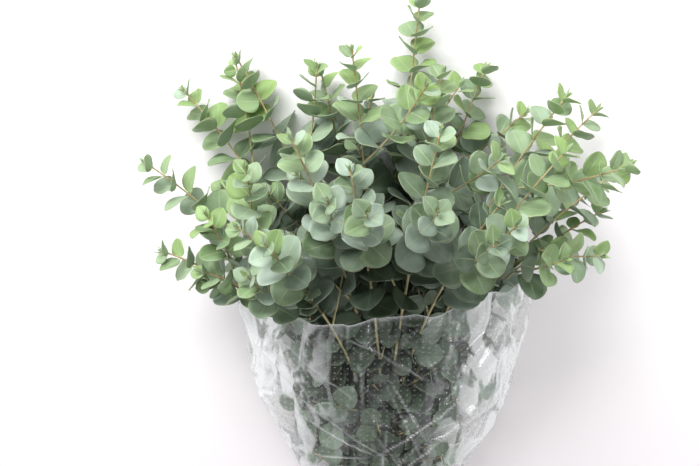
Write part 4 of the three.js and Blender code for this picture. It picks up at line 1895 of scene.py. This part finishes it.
@dataclass(frozen=True)
class RubberFinish:
    """Plain tan rubber."""

    tan: Colour = (0.50, 0.30, 0.13, 1)
    darker: float = 0.62
    blotched: float = 0.7
    roughness: float = 0.68

    def material(self, mottle: bpy.types.NodeTree) -> bpy.types.Material:
        """Make the material from the shared group.

        Args:
            mottle: the group for blotches and speckles.

        Returns:
            The material.
        """
        material, kit, shader = new_material("tan_rubber")
        spot = kit.add("TexCoord").outputs["Object"]
        inputs = {"Place": spot, "Blotches": 300.0, "Speckles": 2600.0}
        blotch = kit.add("Group", node_tree=mottle, inputs=inputs)
        darker = tuple(self.darker * c for c in self.tan[:3]) + (1,)
        share = kit.math("MULTIPLY", blotch.outputs["Blotch"], self.blotched)
        links = material.node_tree.links
        links.new(kit.blend(share, self.tan, darker), shader.inputs["Base Color"])
        kit.bump(shader, 0.4, 0.0001, blotch.outputs["Speckle"])
        shader.inputs["Roughness"].default_value = self.roughness
        return material


@dataclass(frozen=True)
class FloorFinish:
    """Near-white paper with the faintest grain, and painted shade that darkens it towards the cut ends."""

    white: Colour = (0.93, 0.915, 0.925, 1)
    # Painted shade: the grey that the floor darkens to towards the cut ends, and over which span.
    painted_shade_grey: Colour = (0.7, 0.67, 0.69, 1)
    painted_shade_span: Span = (-0.45, 0.25)
    grain: float = 60
    faintness: float = 0.97
    roughness: float = 0.9

    def material(self) -> bpy.types.Material:
        """Make the material.

        Returns:
            The material.
        """
        material, kit, shader = new_material("pale_paper")
        spot = kit.add("TexCoord").outputs["Object"]
        grain = kit.noise(spot, self.grain, 3).outputs[0]
        _, along, _ = kit.split(spot)
        faint = tuple(self.faintness * c for c in self.white[:3]) + (1,)
        far = kit.blend(grain, self.white, faint)
        # Painted shade: the floor darkens towards the cut ends, where less light falls.
        near = kit.ramp(along, *self.painted_shade_span, 1, 0)
        material.node_tree.links.new(kit.blend(near, far, self.painted_shade_grey), shader.inputs["Base Color"])
        shader.inputs["Roughness"].default_value = self.roughness
        return material


@dataclass(frozen=True)
class ShadeAndToneRule:
    """How a leaf's tone and its painted shade follow its place, from two ellipses seen from above, in millimetres."""

    crown: tuple[float, float, float, float] = (10, 470, 290, 300)
    crown_edge: float = 0.45
    # Painted shade: leaves near the middle of this ellipse, the heart of the bunch, are painted darker.
    heart: tuple[float, float, float, float] = (15, 440, 140, 180)
    heart_reach: float = 1.25
    fresh: float = 0.16
    fresh_outer: float = 0.42
    fresh_young: float = 0.3
    fresh_stray: Span = (-0.3, 0.36)
    fresh_shaded: float = 0.35
    bloom: float = 0.5
    bloom_outer: float = 0.2
    bloom_shaded: float = 0.4
    bloom_stray: float = 0.55
    # Painted shade inside the film: deepest along the middle, with bloom paler towards the sides.
    film_shade: Span = (1.1, 1.3)
    film_fresh: float = 0.1
    film_bloom: tuple[float, float, float, float] = (0.35, 0.6, 0.3, 0.3)
    darkest: float = 0.8

    def away(self, tip: Vec, ellipse: tuple[float, float, float, float]) -> float:
        """Give how far from an ellipse's middle a point is, as a share of its radii.

        Args:
            tip: the point.
            ellipse: its middle and its two radii.

        Returns:
            The share.
        """
        x, y, wide, long = ellipse
        return math.hypot((tip[0] - x) / wide, (tip[1] - y) / long)

    def give(self, leaf: Leaf, draw: Draw) -> Vec:
        """Give how much painted shade a leaf takes for its place, its share of bloom and of fresh green.

        Args:
            leaf: the leaf.
            draw: the numbers that vary it.

        Returns:
            The three shares.
        """
        age = min(1.0, leaf.size / RULE.full_leaf)
        tip = leaf.root + leaf.lead * leaf.length
        spread = self.away(tip, self.crown)
        outer = float(np.clip((spread - self.crown_edge) / self.crown_edge, 0, 1))
        # Painted shade: darker, less bloomed and less fresh near the heart of the bunch.
        shade = float(np.clip(self.heart_reach - self.away(tip, self.heart), 0, 1))
        fresh = self.fresh + self.fresh_outer * outer + self.fresh_young * (1 - age)
        fresh = fresh + draw.between(*self.fresh_stray)
        bloom = self.bloom - self.bloom_outer * outer - self.bloom_shaded * shade
        bloom = bloom + draw.spread(self.bloom_stray)
        fresh -= self.fresh_shaded * shade
        # Inside the film the painted shade is deepest along the middle and the bloom paler towards the sides.
        if tip[1] < FILM.rim and FILM.place(tip[None])[0][0] < 1:
            side = abs(tip[0]) / float(FILM.section(tip[1])[0])
            full, fall = self.film_shade
            shade = float(np.clip(full - fall * side, 0, 1))
            least, by_side, stray, by_shade = self.film_bloom
            fresh = self.film_fresh * fresh
            bloom = least + by_side * side + draw.spread(stray) - by_shade * shade
        return np.array([self.darkest * shade, np.clip(bloom, 0, 1), np.clip(fresh, 0, 1)])


@dataclass
class LeafyStems:
    """The twenty grown stems, each one piece with its shoots and leaves, in place of its solid."""

    offset: Vec
    leaf_form: LeafForm = field(default_factory=LeafForm)
    twig_form: TwigForm = field(default_factory=TwigForm)
    shade_and_tones: ShadeAndToneRule = field(default_factory=ShadeAndToneRule)
    bud_sizes: tuple[Span, ...] = ((4.5, 13.0), (1.5, 7.5))
    bud_lean: Span = (14, 34)
    bud_lengths: Span = (0.85, 1.2)
    bud_width: float = 0.36
    bud_bend: float = 0.05
    bud_cup: float = 0.3
    swelling_above: float = 14
    shoot_age: float = 0.55

    def buds(self, twig: Twig, draw: Draw) -> list[Leaf]:
        """Grow the narrow pairs that still stand round a twig's tip.

        Args:
            twig: the twig.
            draw: the numbers that vary it.

        Returns:
            The narrow leaves.
        """
        leaves = []
        start = draw.between(0, math.pi)
        for k, (distance, length) in enumerate(self.bud_sizes):
            s = twig.length - distance
            direction = twig.direction(s)
            for turn in (0, math.pi):
                out = radial(direction, start + k * math.pi / 2 + turn)
                lean = draw.between(*self.bud_lean) * DEGREE
                lead = direction * math.cos(lean) + out * math.sin(lean)
                face = unit(direction - lead * float(direction @ lead))
                side = unit(cross(lead, face))
                root = twig.at(s) + out * (RULE.root_share * twig.radius_at(s))
                size = length * draw.between(*self.bud_lengths)
                width, form = self.bud_width * size, (self.bud_bend, self.bud_cup)
                leaves.append(Leaf(Blade.TIP, root, lead, face, side, size, width, *form, size, s))
        return leaves

    def build(self, stem: Stem, finishes: list[bpy.types.Material]) -> bpy.types.Object:
        """Make one leafy stem and put it in its solid's place.

        Args:
            stem: the grown stem.
            finishes: the leaf's and the bark's materials.

        Returns:
            The piece.
        """
        soup = Soup()
        draw = Draw(stem.owner, Stream.FORMS)
        node = f"leafy_stem_{stem.owner + 1:02d}"
        for index, twig in enumerate([stem.twig, *stem.shoots]):
            leaves = list(stem.leaves[index]) + self.buds(twig, draw)
            swollen = [leaf for leaf in leaves if leaf.size > self.swelling_above]
            nodes = sorted({leaf.s for leaf in swollen if not leaf.pressed})
            self.twig_form.build(twig, nodes, 0.0 if index == 0 else self.shoot_age, soup, 1)
            for leaf in leaves:
                shift = self.twig_form.root_shift(twig, leaf.s)
                # Each leaf's painted shade, bloom and fresh green, from its place.
                tone = self.shade_and_tones.give(leaf, draw)
                self.leaf_form.build(leaf, shift, tone, draw, soup, 0)
        piece = soup.build(f"grown_{node}", self.offset, finishes)
        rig.ride(piece, BODY)
        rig.replaces(piece, node)
        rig.slot(piece, "foliage")
        return piece


@dataclass
class FilmSleeve:
    """The clear film round the stems: one creased, flared sheet, flat where it lies down."""

    offset: Vec
    around: int = 230
    flat_columns: int = 34
    rows: int = 120
    thickness: float = 0.06
    folds: int = 64
    fold_length: Span = (70, 240)
    fold_half: Span = (6.0, 15.0)
    fold_height: Span = (1.5, 6.0)
    fold_starts: tuple[float, Span] = (300, (120, 470))
    fold_aim: Span = (60, 0.9)
    fold_stray: float = 0.55
    crease_half: float = 13.0
    crease_above: float = 50
    # Half width of the painted highlight along a crease, and the crease height at which it is full.
    mark_half: float = 2.0
    full_mark: float = 7
    least_fade: float = 0.02
    facet_seeds: int = 70
    facet_reach: tuple[float, Span] = (320, (60, 480))
    facet_height: float = 2.6
    facet_edge: float = 11.0
    pleat_height: float = 3.0
    pleats_from: float = 0.72
    rim_waves: tuple[Span, Span] = ((3.5, 9), (2.2, 23))
    rim_power: int = 6
    stand_off: float = 0.5
    table_gap: float = 0.05
    edge_sharpness: float = 150
    side_reach: float = 60
    flat_size: Span = (0.96, 0.43)
    flat_area: float = 0.28
    # Creases on top: where each one starts and ends, seen from above, and its height.
    creases: tuple[tuple[Span, Span, float], ...] = (
        ((-10, 205), (105, 304), 7.0),
        ((-10, 205), (-108, 268), 6.5),
        ((-10, 205), (-104, 198), 6.0),
        ((166, 478), (124, 300), 6.0),
        ((-150, 440), (-96, 290), 4.0),
        ((-60, 410), (60, 330), 3.5),
        ((96, 440), (64, 330), 3.5),
    )

    def ring(self) -> tuple[Vec, Vec]:
        """Give each column's angle round the section, and whether it lies on the table.

        Returns:
            One number and one answer for each column.
        """
        contact = math.asin(FILM.sink)
        arc = np.linspace(-contact, math.pi + contact, self.around)
        low = np.linspace(math.cos(contact), -math.cos(contact), self.flat_columns + 2)[1:-1]
        under = -np.arccos(low) % (2 * math.pi)
        lies_flat = np.arange(self.around + self.flat_columns) >= self.around
        return np.concatenate([arc, under[::-1]]), lies_flat

    def net(self) -> tuple[Vec, Vec, Vec]:
        """Give the film's smooth surface.

        Returns:
            The points in rows, each column's angle and whether it lies on the table.
        """
        angle, under = self.ring()
        share = np.linspace(0, 1, self.rows)[:, None]
        y = FILM.low + (FILM.rim_at(angle)[None] - FILM.low) * share
        half_width, half_height = FILM.section(y)
        x = half_width * np.cos(angle)
        z = half_height * (FILM.sink + np.sin(angle))
        z = np.where(under[None], 0, np.maximum(z, 0))
        return np.stack([x, y, z], axis=2), angle, under

    def relief(self, points: Vec, across: Vec) -> tuple[Vec, Vec]:
        """Give how far creases lift the film off its smooth surface, and where a painted highlight runs along them.

        Args:
            points: the smooth surface's points, as rows.
            across: how far round the section each one is from the middle of the top.

        Returns:
            The lift in millimetres and a mask from 0 to 1 for the painted crease highlight, at each point.
        """
        draw = Draw(*FILM_SEED)
        reach, along = self.fold_starts
        aim_at, lean = self.fold_aim
        flat = np.stack([across, points[:, :, 1]], axis=2)
        lift = np.zeros(across.shape)
        crease_highlight = np.zeros(across.shape)
        lines = []
        for _ in range(self.folds):
            start = np.array([draw.spread(reach), draw.between(*along)])
            aim = math.atan2(aim_at - start[1], -lean * start[0]) + draw.spread(self.fold_stray)
            way = np.array([math.cos(aim), math.sin(aim)])
            end = start + draw.between(*self.fold_length) * way
            half = draw.between(*self.fold_half)
            lines.append((start, end, draw.between(*self.fold_height), half, flat, 1.0))
        top = points[:, :, 2] > self.crease_above
        for start, end, height in self.creases:
            ends = (np.array(start), np.array(end))
            lines.append((*ends, height, self.crease_half, points[:, :, :2], top))
        for start, end, height, half, place, where in lines:
            span = end - start
            t = np.clip(((place - start) @ span) / (span @ span), 0, 1)
            away = np.linalg.norm(place - (start + t[:, :, None] * span), axis=2)
            least = self.least_fade
            bow = np.sin(math.pi * np.clip(t, least, 1 - least))
            fade = np.sqrt(np.maximum(least, bow)) * where
            lift = np.maximum(lift, height * fade * np.maximum(0, 1 - away / half))
            # Painted highlight: a narrow line along each crease, stronger the higher the crease.
            sharp = np.maximum(0, 1 - away / self.mark_half)
            crease_highlight = np.maximum(crease_highlight, fade * sharp * height / self.full_mark)
        reach, along = self.facet_reach
        seeds = [(draw.spread(reach), draw.between(*along)) for _ in range(self.facet_seeds)]
        gaps = np.linalg.norm(flat[:, :, None] - np.array(seeds), axis=3)
        gaps.sort(axis=2)
        border = gaps[:, :, 1] - gaps[:, :, 0]
        lift += self.facet_height * np.exp(-border / self.facet_edge)
        return lift, crease_highlight

    def build(self, finish: bpy.types.Material) -> bpy.types.Object:
        """Make the film and put it in its solid's place.

        Args:
            finish: the film's material.

        Returns:
            The piece.
        """
        points, angle, under = self.net()
        steps = np.linalg.norm(np.diff(points, axis=1), axis=2)
        around = np.concatenate([np.zeros((self.rows, 1)), np.cumsum(steps, axis=1)], axis=1)
        top = self.around // 2
        across = around[:, top : top + 1] - around
        lift, crease_highlight = self.relief(points, across)
        share = np.linspace(0, 1, self.rows)[:, None]
        opening = np.maximum(0, share - self.pleats_from)
        pleats = np.sin(17 * angle + 2.5 * np.sin(3 * angle)) * opening / (1 - self.pleats_from)
        lift = lift + self.pleat_height * pleats**2 * np.sign(pleats) + self.stand_off
        (wide, few), (narrow, many) = self.rim_waves
        rim_wave = wide * np.sin(few * angle) + narrow * np.sin(many * angle + 1)
        points[:, :, 1] += rim_wave * share**self.rim_power
        out = np.stack([np.cos(angle), np.zeros_like(angle), np.sin(angle)], axis=1)
        points = points + np.where(under[None, :, None], 0, lift[:, :, None] * out[None])
        points[:, :, 2] = np.maximum(points[:, :, 2], self.table_gap)
        rows, columns = points.shape[:2]
        n = rows * columns
        i, k = np.meshgrid(np.arange(rows - 1), np.arange(columns), indexing="ij")
        a, b = (i * columns + k).ravel(), (i * columns + (k + 1) % columns).ravel()
        quads = np.stack([a, a + columns, b + columns, b], axis=1)
        flat = np.stack([across.ravel(), points[:, :, 1].ravel(), np.zeros(n)], axis=1) * MM
        # Masks for the film's painted highlights: crease lines, the rim and bottom edge, and which way the streaks
        # run.
        ends = [np.exp(-(1 - share) * self.edge_sharpness), np.exp(-share * self.edge_sharpness)]
        edge = np.broadcast_to(np.maximum(*ends), (rows, columns))
        left = np.clip(0.5 - across / self.side_reach, 0, 1)
        highlight_masks = np.stack([crease_highlight.ravel(), edge.ravel(), left.ravel()], axis=1)
        soup = Soup()
        soup.add(points.reshape(-1, 3), [quads], 0, film_flat=flat, film_highlight_masks=highlight_masks)
        piece = soup.build("wrapped_film_sleeve", self.offset, [finish])
        wall = piece.modifiers.new("wall", "SOLIDIFY")
        wall.thickness = self.thickness * MM
        wall.offset = 0
        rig.ride(piece, BODY)
        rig.replaces(piece, "film_sleeve")
        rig.slot(piece, "film")
        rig.sheet(
            piece,
            flat=self.flat_size,
            held="gathered",
            rests_on=["elastic_band"],
            area=self.flat_area,
        )
        return piece


@dataclass
class StemBand:
    """The elastic band round the stems: three turns of flat rubber, side by side."""

    offset: Vec
    turns: int = 3
    steps: int = 96
    squareness: float = 0.42
    thinner: float = 0.3
    inset: float = 0.1
    sway: float = 0.12
    section_sides: int = 8
    section_halves: Span = (0.5, 0.46)

    def build(self, finish: bpy.types.Material) -> bpy.types.Object:
        """Make the band and put it in its solid's place.

        Args:
            finish: the rubber's material.

        Returns:
            The piece.
        """
        low, high = (np.array(corner) / MM - self.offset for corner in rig.box("elastic_band"))
        middle, half = (low + high) / 2, (high - low) / 2
        width = 2 * half[1] / self.turns
        soup = Soup()
        for turn in range(self.turns):
            at = low[1] + width * (turn + 0.5)
            self.add_turn(soup, middle, half, at, width, Draw(BAND_SEED, turn))
        piece = soup.build("stretched_elastic_band", self.offset, [finish])
        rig.ride(piece, BODY)
        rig.replaces(piece, "elastic_band")
        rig.slot(piece, "band")
        return piece

    def add_turn(
        self, soup: Soup, middle: Vec, half: Vec, at: float, width: float, draw: Draw
    ) -> None:
        """Add one turn of rubber, a rounded strip swept round the bundle.

        Args:
            soup: the mesh it goes into.
            middle: the middle of the band's box.
            half: half of the box's size.
            at: how far from the cut ends the turn lies.
            width: the turn's width.
            draw: the numbers that vary how it wanders.
        """
        angle = np.linspace(0, 2 * math.pi, self.steps, endpoint=False)
        power = self.squareness
        thick = BAND_THICKNESS - self.thinner
        phase, sway = draw.between(0, 6.28), self.sway * width
        deep, wide = self.section_halves
        section = []
        for k in range(self.section_sides):
            turn = 2 * math.pi * k / self.section_sides
            section.append((deep * thick * math.cos(turn), wide * width * math.sin(turn)))
        rings = []
        for a in angle:
            c, s = math.cos(a), math.sin(a)
            x = math.copysign(abs(c) ** power, c) * (half[0] - thick / 2 - self.inset)
            z = math.copysign(abs(s) ** power, s) * (half[2] - thick / 2 - self.inset)
            outward = unit(np.array([x / half[0] ** 2, 0, z / half[2] ** 2]))
            along = at + sway * math.sin(2 * a + phase)
            centre = np.array([x + middle[0], along, z + middle[2]])
            rings.append([centre + outward * o + np.array([0, w, 0]) for o, w in section])
        points = np.array(rings).reshape(-1, 3)
        m, n = len(angle), len(section)
        i, k = np.meshgrid(np.arange(m), np.arange(n), indexing="ij")
        a = (i * n + k).ravel()
        b = (i * n + (k + 1) % n).ravel()
        c = (((i + 1) % m) * n + (k + 1) % n).ravel()
        d = (((i + 1) % m) * n + k).ravel()
        soup.add(points, [np.stack([a, b, c, d], axis=1)], 0)


@dataclass(frozen=True)
class Panel:
    """One soft light, turned towards the bunch. Lengths are in metres and power in watts."""

    name: str
    place: tuple[float, float, float]
    size: Span
    power: float
    aim: tuple[float, float, float] = (0.0, 0.0, 0.1)

    def hang(self) -> None:
        """Make the light."""
        lamp = bpy.data.lights.new(self.name, "AREA")
        lamp.shape = "RECTANGLE"
        lamp.size, lamp.size_y = self.size
        lamp.energy = self.power
        light = bpy.data.objects.new(self.name, lamp)
        light.location = self.place
        way = Vector(self.aim) - Vector(self.place)
        light.rotation_euler = way.to_track_quat("-Z", "Y").to_euler()
        bpy.context.collection.objects.link(light)


@dataclass(frozen=True)
class Studio:
    """The pale floor, soft light and camera."""

    target: tuple[float, float, float] = (-46.0, 535.0, 150.0)
    distance: float = 1.167
    tilt: float = 17.0
    lens: float = 50.0
    sky: Colour = (1.0, 0.985, 0.99, 1)
    sky_strength: float = 0.5
    floor_reach: float = 6.0
    floor_depth: float = -0.0004
    panels: tuple[Panel, ...] = (
        Panel("window", (-0.7, 2.1, 1.5), (2.0, 1.1), 95.0),
        Panel("low_strip", (0.5, -1.2, 1.1), (0.9, 0.12), 6.0),
        Panel("side_strip", (1.3, 0.1, 0.9), (0.12, 0.9), 6.0),
        Panel("left_fill", (-1.5, 0.3, 0.9), (0.8, 0.8), 7.0),
    )

    def floor(self, finish: bpy.types.Material) -> None:
        """Lay the floor just under the bunch.

        Args:
            finish: the floor's material.
        """
        mesh = bpy.data.meshes.new("pale_floor")
        reach = self.floor_reach
        signs = [(-1, -1), (1, -1), (1, 1), (-1, 1)]
        corners = [(x * reach, y * reach, self.floor_depth) for x, y in signs]
        mesh.from_pydata(corners, [], [(0, 1, 2, 3)])
        mesh.materials.append(finish)
        floor = bpy.data.objects.new("pale_floor", mesh)
        bpy.context.collection.objects.link(floor)
        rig.stage(floor)

    def build(self, finish: bpy.types.Material, offset: Vec) -> None:
        """Make the floor, the sky, the lights and the camera.

        Args:
            finish: the floor's material.
            offset: where the growth rule's origin is in the row frame, in millimetres.
        """
        self.floor(finish)
        bpy.context.scene.view_settings.view_transform = "Standard"
        world = bpy.data.worlds.new("soft_sky")
        world.use_nodes = True
        backdrop = world.node_tree.nodes["Background"]
        backdrop.inputs["Color"].default_value = self.sky
        backdrop.inputs["Strength"].default_value = self.sky_strength
        bpy.context.scene.world = world
        for panel in self.panels:
            panel.hang()
        camera = bpy.data.cameras.new("photo_camera")
        camera.lens = self.lens
        camera.sensor_width = 36.0
        eye = bpy.data.objects.new("photo_camera", camera)
        angle = self.tilt * DEGREE
        reach = Vector((0, math.sin(angle), math.cos(angle))) * self.distance
        eye.location = Vector((np.array(self.target) + offset) * MM) + reach
        eye.rotation_euler = (-angle, 0, 0)
        bpy.context.collection.objects.link(eye)
        bpy.context.scene.camera = eye


def growth_offset() -> Vec:
    """Find where the growth rule's origin is in the row frame, in millimetres.

    Returns:
        The way from one to the other.
    """
    low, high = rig.box("elastic_band")
    middle = np.array((low + high) / 2) / MM
    return np.array([middle[0], middle[1] - BAND_AT, 0.0])


def report(piece: bpy.types.Object) -> None:
    """Log a piece's name and how many faces it has."""
    log.info("%s: %d faces", piece.name, len(piece.data.polygons))


def main() -> None:
    """Grow the bunch, make every piece and set the scene round it."""
    offset = growth_offset()
    mottle, veins, punched = mottle_group(), vein_group(), punch_group()
    leaf, bark = LeafFinish().material(mottle, veins), BarkFinish().material(mottle)
    stems = LeafyStems(offset)
    growth = Growth()
    grown = growth.grow()
    growth.fill_sleeve(grown)
    for stem in grown:
        report(stems.build(stem, [leaf, bark]))
    report(FilmSleeve(offset).build(FilmFinish().material(punched)))
    report(StemBand(offset).build(RubberFinish().material(mottle)))
    Studio().build(FloorFinish().material(), offset)
    sizes = {"cad": [list(c) for c in CAD_BOX], "visual": [list(c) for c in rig.bounds()]}
    with open(SIZE_FILE, "w") as out:
        json.dump(sizes, out)


if __name__ == "__main__":
    main()
